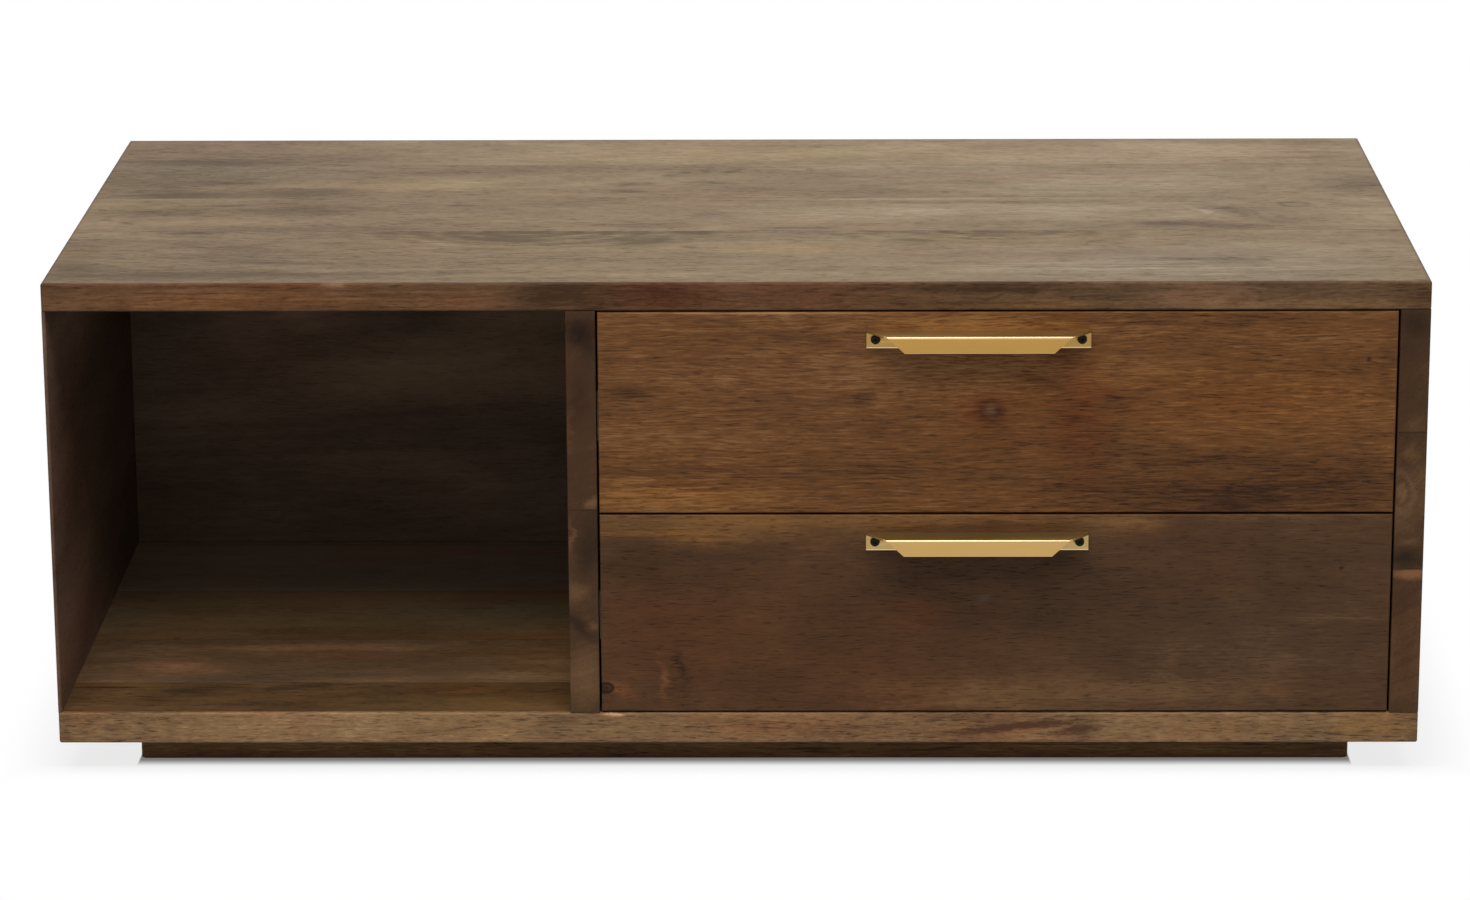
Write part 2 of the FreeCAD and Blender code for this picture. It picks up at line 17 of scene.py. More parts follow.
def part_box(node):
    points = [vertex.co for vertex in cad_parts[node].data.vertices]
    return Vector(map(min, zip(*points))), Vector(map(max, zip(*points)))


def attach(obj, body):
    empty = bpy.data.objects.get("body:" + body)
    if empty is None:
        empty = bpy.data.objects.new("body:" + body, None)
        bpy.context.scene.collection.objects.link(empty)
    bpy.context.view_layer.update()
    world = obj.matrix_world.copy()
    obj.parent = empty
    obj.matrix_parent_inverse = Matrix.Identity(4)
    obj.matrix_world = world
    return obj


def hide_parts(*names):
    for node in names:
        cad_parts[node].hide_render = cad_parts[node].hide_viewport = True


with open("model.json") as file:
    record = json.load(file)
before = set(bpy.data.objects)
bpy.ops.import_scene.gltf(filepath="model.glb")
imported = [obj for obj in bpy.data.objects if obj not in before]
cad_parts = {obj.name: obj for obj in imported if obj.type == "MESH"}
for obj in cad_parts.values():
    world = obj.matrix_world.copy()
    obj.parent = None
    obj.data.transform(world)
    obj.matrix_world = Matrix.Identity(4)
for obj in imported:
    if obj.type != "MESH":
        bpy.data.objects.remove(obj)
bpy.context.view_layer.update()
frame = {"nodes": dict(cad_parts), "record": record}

scene = bpy.context.scene
body_of = {node: body for body, nodes in frame["record"]["behaviour"]["bodies"].items() for node in nodes}
print("nodes in the frame:", len(frame["nodes"]))

# %% [markdown]
# The camera stands 4.5 m in front of the table and looks down on it by about 15 degrees through a long lens,
# which is how a catalogue picture keeps the drawers nearly square. A camera can be turned with Euler angles,
# but three turns in a row, about the vertical, then the tilt, then the roll, are easier to read one by one.

# %% Camera
CAMERA_PLACE = Vector((0.0591, -4.4752, 1.4558))
CAMERA_YAW = math.radians(0.8165)
CAMERA_TILT = math.radians(15.4244)
CAMERA_ROLL = math.radians(-0.2923)
LENS = 122.354
SENSOR_WIDTH = 36.0
VIEW_DEPTH = 100.0

lens = bpy.data.cameras.new("camera")
lens.lens = LENS
lens.sensor_width = SENSOR_WIDTH
lens.sensor_fit = "HORIZONTAL"
lens.clip_end = VIEW_DEPTH
camera = bpy.data.objects.new("camera", lens)
turn = Matrix.Rotation(CAMERA_YAW, 4, "Z") @ Matrix.Rotation(math.pi / 2 - CAMERA_TILT, 4, "X")
camera.matrix_world = Matrix.Translation(CAMERA_PLACE) @ turn @ Matrix.Rotation(CAMERA_ROLL, 4, "Z")
scene.collection.objects.link(camera)
scene.camera = camera
scene.view_settings.view_transform = "Standard"
print("camera at", [round(value, 3) for value in CAMERA_PLACE])

# %% [markdown]
# The studio has a wide soft box overhead, a weak one low in front that fills the drawer fronts, and one
# behind for the back. A sun would light the table as well, but its shadows are hard: only large lamps give
# the soft edge that the shadow under the slab has. The level is plain: a white card on the table would come
# out just about white, so every colour below renders as it is written.

# %% Lamps
TABLE_MIDDLE = Vector((0.0, 0.0, 0.25))
SOFT_BOXES = {
    "soft_box_overhead": ((0.0, -1.6, 2.9), (3.0, 1.8), 112.0),
    "soft_box_low_front": ((-0.5, -4.0, 0.9), (2.0, 1.0), 5.0),
    "soft_box_rear": ((0.0, 3.2, 2.4), (3.0, 1.4), 24.0),
}
for name, (place, (width, depth), power) in SOFT_BOXES.items():
    data = bpy.data.lights.new(name, "AREA")
    data.shape = "RECTANGLE"
    data.size = width
    data.size_y = depth
    data.energy = power
    lamp = bpy.data.objects.new(name, data)
    aim = (TABLE_MIDDLE - Vector(place)).to_track_quat("-Z", "Y")
    lamp.matrix_world = Matrix.Translation(place) @ aim.to_matrix().to_4x4()
    scene.collection.objects.link(lamp)
    print(name, "gives", power, "W")

# %% [markdown]
# A material is a graph of nodes, and graphs are hard to read as code. This small class wraps one socket, so
# that sums and products of sockets are written as formulas. Every other node comes from its one method,
# which sets the node's settings first and then its values or links.

# %% A socket that can be used in formulas
def set_stops(ramp, stops):
    """Gives a colour ramp its stops, as pairs of a place and a colour."""
    while len(ramp.elements) > 1:
        ramp.elements.remove(ramp.elements[-1])
    for number, (place, colour) in enumerate(stops):
        stop = ramp.elements[0] if number == 0 else ramp.elements.new(place)
        stop.position = place
        stop.color = (*colour, 1.0)


class Wire:
    """One output socket of a shader graph."""

    def __init__(self, tree, socket):
        self.tree = tree
        self.socket = socket

    def node(self, kind, settings=None, values=None, out=0):
        """Adds a node of any kind and returns one of its outputs."""
        made = self.tree.nodes.new(kind)
        for name, value in (settings or {}).items():
            if name == "stops":
                set_stops(made.color_ramp, value)
            else:
                setattr(made, name, value)
        for key, value in (values or {}).items():
            if isinstance(value, Wire):
                self.tree.links.new(value.socket, made.inputs[key])
            else:
                made.inputs[key].default_value = value
        return Wire(self.tree, made.outputs[out] if made.outputs else None)

    def math(self, operation, *values):
        """Adds a Math node for values, of which this wire is one."""
        return self.node("ShaderNodeMath", {"operation": operation}, dict(enumerate(values)))

    def __add__(self, other):
        return self.math("ADD", self, other)

    def __radd__(self, other):
        return self.math("ADD", other, self)

    def __sub__(self, other):
        return self.math("SUBTRACT", self, other)

    def __rsub__(self, other):
        return self.math("SUBTRACT", other, self)

    def __mul__(self, other):
        return self.math("MULTIPLY", self, other)

    def __rmul__(self, other):
        return self.math("MULTIPLY", other, self)


print("a wire can be added, subtracted and multiplied")

# %% [markdown]
# Every material starts at Object coordinates, which are metres on the table, because every piece has its
# origin at the table's. Generated coordinates would stretch with each board's own size. It ends in a
# Principled shader: what varies over the surface is linked to it, and what is the same all over is set on
# the shader itself.

# %% Start and end of a material
def new_material(name):
    """Returns an empty material and the wire of its object coordinates, in metres."""
    material = bpy.data.materials.new(name)
    material.use_nodes = True
    tree = material.node_tree
    tree.nodes.clear()
    coordinates = tree.nodes.new("ShaderNodeTexCoord")
    return material, Wire(tree, coordinates.outputs["Object"])


def shade(place, varying, fixed, relief, relief_depth):
    """Ends a material with a shader, a relief as a bump, and the output."""
    bump = place.node("ShaderNodeBump", {}, {"Height": relief, "Distance": relief_depth})
    surface = place.node("ShaderNodeBsdfPrincipled", {}, {**fixed, **varying, "Normal": bump})
    place.node("ShaderNodeOutputMaterial", {}, {"Surface": surface})


print("materials so far:", len(bpy.data.materials))

# %% [markdown]
# Places and colours have three channels, and a Math node would keep only one of them. So they go through
# Vector Math and Mix nodes, each with a short helper.

# %% Helpers for places and colours
MIX_COLOUR_OUT = 2


def vector_math(operation, *values, out="Vector"):
    """Adds a Vector Math node."""
    wire = next(value for value in values if isinstance(value, Wire))
    return wire.node("ShaderNodeVectorMath", {"operation": operation}, dict(enumerate(values)), out)


def length_of(vector):
    """Returns how long a vector is."""
    return vector_math("LENGTH", vector, out="Value")


def axes_of(vector):
    """Returns the three values of a vector."""
    return [vector.node("ShaderNodeSeparateXYZ", {}, {"Vector": vector}, number) for number in range(3)]


def joined(x, y, z=0.0):
    """Joins three values to a vector."""
    return x.node("ShaderNodeCombineXYZ", {}, {"X": x, "Y": y, "Z": z})


def tint(colour, share, other):
    """Multiplies a colour by another one where the share is high."""
    return colour.node("ShaderNodeMix", {"data_type": "RGBA", "blend_type": "MULTIPLY"},
                       {"Factor": share, "A": colour, "B": (*other, 1.0)}, MIX_COLOUR_OUT)


print("colours leave a Mix node at output", MIX_COLOUR_OUT)

# %% [markdown]
# Nearly all patterns below are noises. A noise is stretched by giving it more features per metre one way
# than another, as grain has, and moved by a seed. A soft step turns its grey hills into islands with a rim
# as hard or as soft as the real pattern's. In colour a noise has three channels, so it can push coordinates
# to and fro and bend whatever is drawn on them.

# %% Helpers for noises
SEED_STRIDES = (1.0, 0.37, -0.61)


def noise(place, scale, seed=0.0, detail=2.0, roughness=0.5, out="Fac"):
    """Noise with its own scale along each axis, in features per metre."""
    shifted = vector_math("MULTIPLY_ADD", place, scale, tuple(seed * stride for stride in SEED_STRIDES))
    return place.node("ShaderNodeTexNoise", {},
                      {"Vector": shifted, "Scale": 1.0, "Detail": detail, "Roughness": roughness}, out)


def wander(place, scale, seed, detail, roughness):
    """Returns a push to and fro, between -0.5 and 0.5 along each axis."""
    return vector_math("SUBTRACT", noise(place, scale, seed, detail, roughness, "Color"), (0.5, 0.5, 0.5))


def step(value, low, high, to_low=0.0, to_high=1.0):
    """A soft step: below low it gives to_low, above high it gives to_high."""
    return value.node("ShaderNodeMapRange", {"interpolation_type": "SMOOTHSTEP"},
                      {"Value": value, "From Min": low, "From Max": high,
                       "To Min": to_low, "To Max": to_high})


print("a seed moves a noise by", SEED_STRIDES)

# %% [markdown]
# The floor is a plain pale sheet, and the world around it is white. Stronger lamps would make both look
# white, but they would bleach the wood too. So the kind of ray decides: camera, glossy and transmission rays
# see white, and the others see the plain surface.

# %% Rays that see the studio itself
WHITE = (1.0, 1.0, 1.0, 1.0)


def seen_directly(wire):
    """Returns 1 for rays of the camera, of reflections and of glass, and 0 for all others."""
    camera_ray, glossy_ray, glass_ray = (wire.node("ShaderNodeLightPath", {}, {}, out) for out in
                                         ("Is Camera Ray", "Is Glossy Ray", "Is Transmission Ray"))
    return wire.math("MAXIMUM", camera_ray, wire.math("MAXIMUM", glossy_ray, glass_ray))


print("the camera sees white as", WHITE[:3])

# %% [markdown]
# The floor is one large square with nothing to model, so a grid of a single face does it. It is staged,
# which keeps it out of the object.

# %% Floor
FLOOR_SIZE = 40.0

bm = bmesh.new()
bmesh.ops.create_grid(bm, x_segments=1, y_segments=1, size=FLOOR_SIZE / 2)
floor_mesh = bpy.data.meshes.new("floor")
bm.to_mesh(floor_mesh)
bm.free()
floor = bpy.data.objects.new("floor", floor_mesh)
scene.collection.objects.link(floor)
floor_material, floor_place = new_material("floor_pale")
floor_mesh.materials.append(floor_material)
print("the floor is", FLOOR_SIZE, "m wide")

# %% [markdown]
# The floor mixes in only a share of white, and so keeps the shadow that the table throws on it. The share
# grows with the distance from the plinth, one way to the front and another way beside it. The darkness near
# the plinth is the table's real shadow, but the white glow is painted light: beyond these reaches it covers
# the real shadow with white, also the shadow of an open drawer.

# %% Floor finish
FLOOR_PALE = (0.66, 0.66, 0.66, 1.0)
CONTACT_GLOW_SHARES = (0.16, 0.87, 1.0)
CONTACT_REACH = (0.0, 0.023, 0.060)
OVERHANG_GLOW_SHARES = (0.0, 0.80, 1.0)
OVERHANG_REACH = (0.0, 0.002, 0.060, 0.140)

plinth_low = Vector((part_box("plinth_left_rail")[0].x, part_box("plinth_front_rail")[0].y, 0.0))
plinth_high = Vector((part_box("plinth_right_rail")[1].x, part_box("plinth_back_rail")[1].y, 0.0))
outside = vector_math("ABSOLUTE", vector_math("SUBTRACT", floor_place, (plinth_low + plinth_high) / 2))
outside = vector_math("SUBTRACT", outside, (plinth_high - plinth_low) / 2)
outside = vector_math("MAXIMUM", outside, (0.0, 0.0, 0.0))
beside, before = axes_of(outside)[:2]
near, middle, far = CONTACT_GLOW_SHARES
start, knee, end = CONTACT_REACH
contact = step(before, start, knee, near, middle) + step(before, knee, end, 0.0, far - middle)
near, middle, far = OVERHANG_GLOW_SHARES
start, edge, knee, end = OVERHANG_REACH
overhang = step(beside, start, edge, near, middle) + step(beside, knee, end, 0.0, far - middle)
# The white glow is painted light that covers the real shadow away from the plinth.
white_share = seen_directly(floor_place) * floor_place.math("MAXIMUM", contact, overhang)
plain = floor_place.node("ShaderNodeBsdfDiffuse", {}, {"Color": FLOOR_PALE})
glow = floor_place.node("ShaderNodeEmission", {}, {"Color": WHITE, "Strength": 1.0})
mixed = floor_place.node("ShaderNodeMixShader", {}, {0: white_share, 1: plain, 2: glow})
floor_place.node("ShaderNodeOutputMaterial", {}, {"Surface": mixed})
print("the floor reflects", FLOOR_PALE[0], "and the plinth reaches to x =", round(plinth_high.x, 3))

# %% [markdown]
# The world is plain white instead of a picture of a room, because a catalogue shot has no surroundings. Rays
# that light the wood find it dimmed, so it only fills the shadows.

# %% World
FILL_LIGHT = 0.36

world = bpy.data.worlds.new("studio")
world.use_nodes = True
world.node_tree.nodes.clear()
world_wire = Wire(world.node_tree, None)
strength = step(seen_directly(world_wire), 0.0, 1.0, FILL_LIGHT, 1.0)
sky = world_wire.node("ShaderNodeBackground", {}, {"Color": WHITE, "Strength": strength})
world_wire.node("ShaderNodeOutputWorld", {}, {"Surface": sky})
scene.world = world
print("the world fills with", FILL_LIGHT)

# %% [markdown]
# Real boards don't all look alike: each has its own run of grain, clouds of darker stain, a knot here and a
# pale patch there. The grain can be computed, but the features that the eye remembers are listed one by one.
# A Mark is one such feature: where it is, how far it reaches along and across the grain, and what it does to
# the tone. With rings it becomes a set of nested arcs, as where a saw has cut through a bulge. A mark's hue
# is a colour that the wood is multiplied by.

# %% Features placed by hand
GOLDEN = (1.10, 1.04, 0.84)
OLIVE = (1.00, 1.00, 0.84)
GREYED = (0.92, 0.97, 1.06)
REDDENED = (1.08, 0.90, 0.84)
ROSY = (1.02, 0.97, 0.98)
RUSTY = (1.04, 0.96, 0.90)
ASHEN = (0.97, 0.99, 1.12)
SMOKED = (0.97, 1.00, 1.07)
FOXY = (1.09, 0.98, 0.84)
SILVERED = (0.62, 1.06, 1.72)


@dataclass
class Mark:
    """A feature of one board. Its place and size run along and across the grain, in metres.
    On a front edge they run along X and Z. A streaky mark is broken up by the grain, and a crisp one keeps
    its outline instead of fraying along the fibres."""
    at: tuple
    size: tuple
    tone: float = 0.0
    turn: float = 0.0
    rings: float = 0.0
    hue: tuple = None
    on_edge: bool = False
    streaky: bool = False
    crisp: bool = False


def edge_mark(*values, **more):
    """Returns a mark on a front edge."""
    return Mark(*values, on_edge=True, **more)


@dataclass
class Knot:
    """A knot, with the grain flowing round it. Its heart can be paler than its rim."""
    at: tuple
    size: float
    tone: float
    heart: float


print("a plain mark is", Mark((0.0, 0.0), (0.01, 0.01)))

# %% [markdown]
# A feature could be painted on a mask, but a mask is a picture with a size of its own. Here it is a hump on
# the board's coordinates: a Mapping node moves, turns and scales them, and a spherical gradient falls from 1
# in the middle to 0 at the rim. A noise shifts the coordinates first, so that the rim follows the fibres.

# %% Humps with ragged rims
FINE_FRAY = ((14.0, 90.0, 90.0), 7.7, (0.04, 0.009))
COARSE_FRAY = ((24.0, 38.0, 38.0), 8.4, (0.022, 0.011))
EDGE_FRAY = ((40.0, 60.0, 130.0), 3.3, (0.02, 0.008))
FRAY_DETAIL = 4.0
FRAY_ROUGHNESS = 0.65


def reach_of(flat, at, size, turn=0.0):
    """Returns a board's coordinates as seen from a feature: 0 at its middle, 1 at its rim."""
    return flat.node("ShaderNodeMapping", {"vector_type": "TEXTURE"},
                     {"Vector": flat, "Location": (*at, 0.0), "Rotation": (0.0, 0.0, math.radians(turn)),
                      "Scale": (*size, 1.0)})


def swell(local):
    """Returns a soft hump: 1 in the middle of a feature, 0 at its rim."""
    cone = local.node("ShaderNodeTexGradient", {"gradient_type": "SPHERICAL"}, {"Vector": local}, "Fac")
    return step(cone, 0.0, 1.0)


def fray(flat, solid, seed, scale, own_seed, reach):
    """Shifts flat coordinates to and fro by a noise of the solid ones."""
    push = wander(solid, scale, seed + own_seed, FRAY_DETAIL, FRAY_ROUGHNESS)
    return vector_math("MULTIPLY_ADD", push, (*reach, 0.0), flat)


print("fine and coarse frays reach", FINE_FRAY[2], "and", COARSE_FRAY[2], "m")

# %% [markdown]
# The wood is a solid texture: it is defined through the whole board, so the end grain shows the same growth
# rings as the face, cut the other way. An image of wood would be quicker, but it repeats, stretches on the
# edges and can't have its knots moved. First come the board's own axes: along its grain, across it and
# through it. Knots bend the axis across, so everything drawn on it later flows round them.

# %% Axes of a board
KNOT_BEND_REACH = (4.0, 3.0)
KNOT_BEND = 0.55


@dataclass
class Board:
    """Coordinates on one board: the table's own, the grain's, and both grain axes with and without depth."""
    place: Wire
    x: Wire
    y: Wire
    z: Wire
    along: Wire
    across: Wire
    flat: Wire
    solid: Wire


def board_axes(place, grain, knots):
    """Finds the axes of a board. grain names the table's axes that run along, across and through it."""
    axis = dict(zip("xyz", axes_of(place)))
    along, across, through = (axis[letter] for letter in grain)
    flat = joined(along, across)
    for knot in knots:
        bend = swell(reach_of(flat, knot.at, [knot.size * reach for reach in KNOT_BEND_REACH]))
        across = across - (across - knot.at[1]) * bend * KNOT_BEND
    return Board(place, **axis, along=along, across=across, flat=flat, solid=joined(along, across, through))


print("a knot bends the grain as far as", KNOT_BEND_REACH, "times its size")

# %% [markdown]
# Over the growth rings of real wood lie long streaks, short fibres, pores as tiny dark dashes, and soft
# clouds of stain. One noise with much detail could stand for all, but it would look like stone. Here each
# has a noise of its own, with its own scale along, across and through the board.

# %% Layers of the grain
@dataclass
class Layer:
    """One noise of the wood: its features per metre along, across and through, its seed and its fineness."""
    scale: tuple
    seed: float
    detail: float
    roughness: float = 0.5


STREAKS = Layer((7.0, 80.0, 80.0), 1.3, 4.0, 0.68)
SPECKLE = Layer((120.0, 300.0, 420.0), 2.2, 4.0, 0.75)
FIBRES = Layer((38.0, 540.0, 540.0), 2.9, 3.0, 0.75)
LINES = Layer((14.0, 300.0, 300.0), 3.6, 2.0, 0.60)
PORES = Layer((80.0, 800.0, 800.0), 4.1, 1.0)
CLOUDS = Layer((3.0, 12.0, 12.0), 5.7, 4.0, 0.55)
GRIT = Layer((7.0, 220.0, 220.0), 6.3, 3.0, 0.60)
SMUDGES = Layer((9.0, 30.0, 30.0), 8.8, 7.0, 0.74)
HUE_PATCH = Layer((3.5, 11.0, 11.0), 9.1, 3.0)
HUE_SEED_STEP = 5.0


@dataclass
class Figure:
    """How strongly each part of the grain shows."""
    rings: float = 0.32
    streaks: float = 0.60
    fibres: float = 0.95
    pores: float = 0.55
    clouds: float = 0.55
    smudges: float = 0.0
    lines: float = 0.30
    ring_density: float = 90.0
    streak_scale: tuple = STREAKS.scale
    smudge_scale: tuple = SMUDGES.scale


def layer(place, kind, seed, scale=None):
    """Adds one layer of the grain."""
    return noise(place, scale or kind.scale, seed + kind.seed, kind.detail, kind.roughness)


print("a plain figure is", Figure())

# %% [markdown]
# Growth rings are a noise of the distance from the pith, the middle of the tree. A Wave texture makes rings
# too, but evenly spaced ones, which no tree has. Drifting coordinates keep rings and fibres from running
# dead straight, and all layers add up to one tone between 0 and 1.

# %% Grain
DRIFT = Layer((4.5, 15.0, 15.0), 0.0, 4.0, 0.60)
RING_DRIFT = (0.06, 0.022, 0.022)
FIBRE_DRIFT = (0.03, 0.014, 0.002)
RING_SLOPE = 0.03
RING_DETAIL = 2.0
RING_ROUGHNESS = 0.6
LINE_STEP = (0.57, 0.72)
PORE_STEP = (0.58, 0.68)
PORE_SHARE = 0.35


@dataclass
class Grain:
    """The parts of a board's grain that later steps need, and their sum, the tone."""
    seed: float
    grown: Wire
    straight: Wire
    streaks: Wire
    fibres: Wire
    pores: Wire
    tone: Wire


def grain_of(board, figure, level, pith, seed):
    """Adds all layers of a board's grain to one tone between 0 and 1."""
    drift = wander(board.solid, DRIFT.scale, seed, DRIFT.detail, DRIFT.roughness)
    grown = vector_math("MULTIPLY_ADD", drift, RING_DRIFT, board.solid)
    straight = vector_math("MULTIPLY_ADD", drift, FIBRE_DRIFT, board.solid)
    from_pith = vector_math("MULTIPLY_ADD", grown, (0.0, 1.0, 1.0), (0.0, -pith[0], -pith[1]))
    radius = length_of(from_pith) + board.along * RING_SLOPE
    rings = radius.node("ShaderNodeTexNoise", {"noise_dimensions": "1D"},
                        {"W": (radius + seed) * figure.ring_density, "Scale": 1.0, "Detail": RING_DETAIL,
                         "Roughness": RING_ROUGHNESS})
    streaks = layer(straight, STREAKS, seed, figure.streak_scale)
    fibres = layer(straight, FIBRES, seed)
    lines = step(layer(straight, LINES, seed), *LINE_STEP)
    pores = step(layer(straight, PORES, seed), *PORE_STEP)
    clouds = layer(grown, CLOUDS, seed)
    tone = (rings - 0.5) * figure.rings + (streaks - 0.5) * figure.streaks
    tone = tone + (fibres - 0.5) * figure.fibres + (clouds - 0.5) * figure.clouds
    tone = tone - pores * (figure.pores * PORE_SHARE) - lines * figure.lines + level
    if figure.smudges:
        tone = tone + (layer(grown, SMUDGES, seed, figure.smudge_scale) - 0.5) * figure.smudges
    return Grain(seed, grown, straight, streaks, fibres, pores, tone)


print("growth rings lean by", RING_SLOPE)

# %% [markdown]
# The marks come next. Each raises or lowers the tone under its hump. Some lie on a front edge only, so the
# script asks the frame where the edges of the slabs are. A streaky mark is broken up by grit, a noise as
# long and thin as the grain.

# %% Marks on the tone
FRONT_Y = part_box("top_board_1")[0].y
FRONT_SKIN = (0.002, 0.006)
GRIT_STEP = (0.40, 0.60, 0.0, 1.9)
RING_WAVER = 0.16


def near_front_of(board):
    """Returns 1 in the skin of a slab's front edge and 0 behind it."""
    return step(board.y, FRONT_Y + FRONT_SKIN[0], FRONT_Y + FRONT_SKIN[1], 1.0, 0.0)


def add_marks(tone, board, grain, marks):
    """Adds the marks to the tone. Returns it with the humps that tint the colour."""
    if not marks:
        return tone, []
    seed, near_front, hue_humps = grain.seed, near_front_of(board), []
    grit = step(layer(grain.straight, GRIT, seed), *GRIT_STEP)
    ragged = fray(board.flat, board.solid, seed, *FINE_FRAY)
    ragged = fray(ragged, board.solid, seed, *COARSE_FRAY)
    edge = fray(joined(board.x, board.z), board.place, seed, *EDGE_FRAY)
    for mark in marks:
        surface = edge if mark.on_edge else board.flat if mark.crisp else ragged
        local = reach_of(surface, mark.at, mark.size, mark.turn)
        hump = swell(local) * near_front if mark.on_edge else swell(local)
        if mark.hue:
            hue_humps.append((hump, mark.hue))
        if mark.streaky:
            hump = hump * grit
        if mark.rings:
            span = length_of(local) + (grain.streaks - 0.5) * RING_WAVER
            wave = span.math("SINE", span * (mark.rings * math.tau))
            tone = tone + hump * (wave * 0.5 + 0.5) * mark.tone
        elif mark.tone:
            tone = tone + hump * mark.tone
    return tone, hue_humps


print("front edges lie at y =", round(FRONT_Y, 4))

# %% [markdown]
# A knot is the root of a branch: a dark ring round its heart. A glued joint is a fine dark line along two
# boards. It could be a groove in the mesh, but a good joint is flush, so only the tone shows it.

# %% Knots and joints on the tone
KNOT_STRETCH = 1.25
KNOT_RIM = (0.35, 0.62, 0.95)
JOINT_HALF = (0.0002, 0.0011)
JOINT_DARK = 0.22


def add_knots(tone, board, knots):
    """Adds the hearts and the dark rims of the knots to the tone."""
    start, crest, end = KNOT_RIM
    for knot in knots:
        local = reach_of(board.flat, knot.at, (knot.size * KNOT_STRETCH, knot.size))
        span = length_of(local)
        rim = step(span, start, crest) - step(span, crest, end)
        tone = tone + swell(local) * knot.heart + rim * knot.tone
    return tone


def add_joints(tone, board, joints):
    """Darkens the tone along the glued joints, which are places across the grain."""
    for joint in joints:
        away = board.across.math("ABSOLUTE", board.across - joint)
        tone = tone - step(away, *JOINT_HALF, JOINT_DARK, 0.0)
    return tone


print("a glued joint darkens the tone by", JOINT_DARK)

# %% [markdown]
# A ramp will turn the tone into colour, but some colours don't follow the grain: large patches that lean to
# another hue, the outer edges of the slabs, which have a tone of their own, and the parts of the base slab
# outside the open bay, where a tint takes back the painted light and shade of the bay's floor. Each
# multiplies the colour by a tint where a share is high.

# %% Tints on the colour
REAR_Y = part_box("top_board_4")[1].y
END_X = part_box("top_board_1")[1].x
BASE_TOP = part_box("base_board_3")[1].z
PANEL_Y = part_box("back_panel")[0].y
RIM_SKIN = (0.004, 0.001)
FLOOR_SKIN = (0.003, 0.001)
PATCH_STEP = (0.46, 0.64)


def rim_share(board):
    """Returns 1 in the skin of a slab's outer edges: its front, its ends and its rear."""
    outer, inner = RIM_SKIN
    near_front = near_front_of(board)
    near_end = step(board.x.math("ABSOLUTE", board.x), END_X - outer, END_X - inner)
    near_rear = step(board.y, REAR_Y - outer, REAR_Y - inner)
    return board.x.math("MAXIMUM", near_front, board.x.math("MAXIMUM", near_end, near_rear))


def bay_floor_share(board):
    """Returns 1 on the top face of the base slab in front of the back panel."""
    outer, inner = FLOOR_SKIN
    on_top = step(board.z, BASE_TOP - outer, BASE_TOP - inner)
    return on_top * step(board.y, PANEL_Y - outer, PANEL_Y - inner, 1.0, 0.0)


def add_hues(colour, grain, hues):
    """Lets large patches of a board lean to other hues."""
    for number, hue in enumerate(hues):
        patch = layer(grain.grown, HUE_PATCH, grain.seed + HUE_SEED_STEP * number)
        colour = tint(colour, step(patch, *PATCH_STEP), hue)
    return colour


print("the bay's floor is at z =", round(BASE_TOP, 4), "and ends at y =", round(PANEL_Y, 4))

# %% [markdown]
# A stain is three colours: of the darkest streak, of the middle and of the palest patch. The table has a few
# of them: khaki browns for the top, and a paler khaki as painted light for the boards deep in the bay,
# walnut browns for edges and fronts, a colder and darker one for the lower drawer, and a dark one for end
# grain, which drinks more stain than a face does.

# %% Stains
RAMP_PLACES = (0.0, 0.5, 1.0)


@dataclass
class Stain:
    """The colours of a finish, from its darkest streak to its palest patch."""
    dark: tuple
    middle: tuple
    pale: tuple


# This pale khaki is painted light for the deep boards of the bay, where little light arrives.
PAINTED_LIGHT_KHAKI = Stain((0.12, 0.080, 0.048), (0.30, 0.220, 0.150), (0.44, 0.34, 0.25))
KHAKI_WALNUT = Stain((0.060, 0.034, 0.012), (0.162, 0.106, 0.050), (0.30, 0.220, 0.126))
WALNUT = Stain((0.034, 0.017, 0.007), (0.128, 0.066, 0.025), (0.32, 0.195, 0.090))
UMBER = Stain((0.034, 0.018, 0.009), (0.124, 0.069, 0.033), (0.30, 0.190, 0.105))
WARM_WALNUT = Stain((0.028, 0.011, 0.004), (0.113, 0.046, 0.013), (0.26, 0.130, 0.046))
COOL_WALNUT = Stain((0.018, 0.009, 0.004), (0.068, 0.033, 0.014), (0.17, 0.090, 0.036))
DUSKY_WALNUT = Stain((0.026, 0.016, 0.010), (0.108, 0.064, 0.041), (0.23, 0.148, 0.098))
END_GRAIN = Stain((0.010, 0.005, 0.002), (0.049, 0.0235, 0.0095), (0.15, 0.080, 0.036))
print("the middle of the end grain's stain is", END_GRAIN.middle)

# %% [markdown]
# All of it together makes the wood of one board. Dark grain and pores are a little duller than pale wood,
# and the relief is very low, as under wax: fibres stand up, pores are pits. A bump does that, because it is
# finer than any mesh could be.

# %% Wood of one board
EDGE_SPECKLE = 0.62
TONE_DULLS = 0.10
PORES_DULL = 0.12
FIBRE_HEIGHT = 0.5
WOOD_RELIEF = 0.00012
WAXED = {"Specular IOR Level": 0.11}


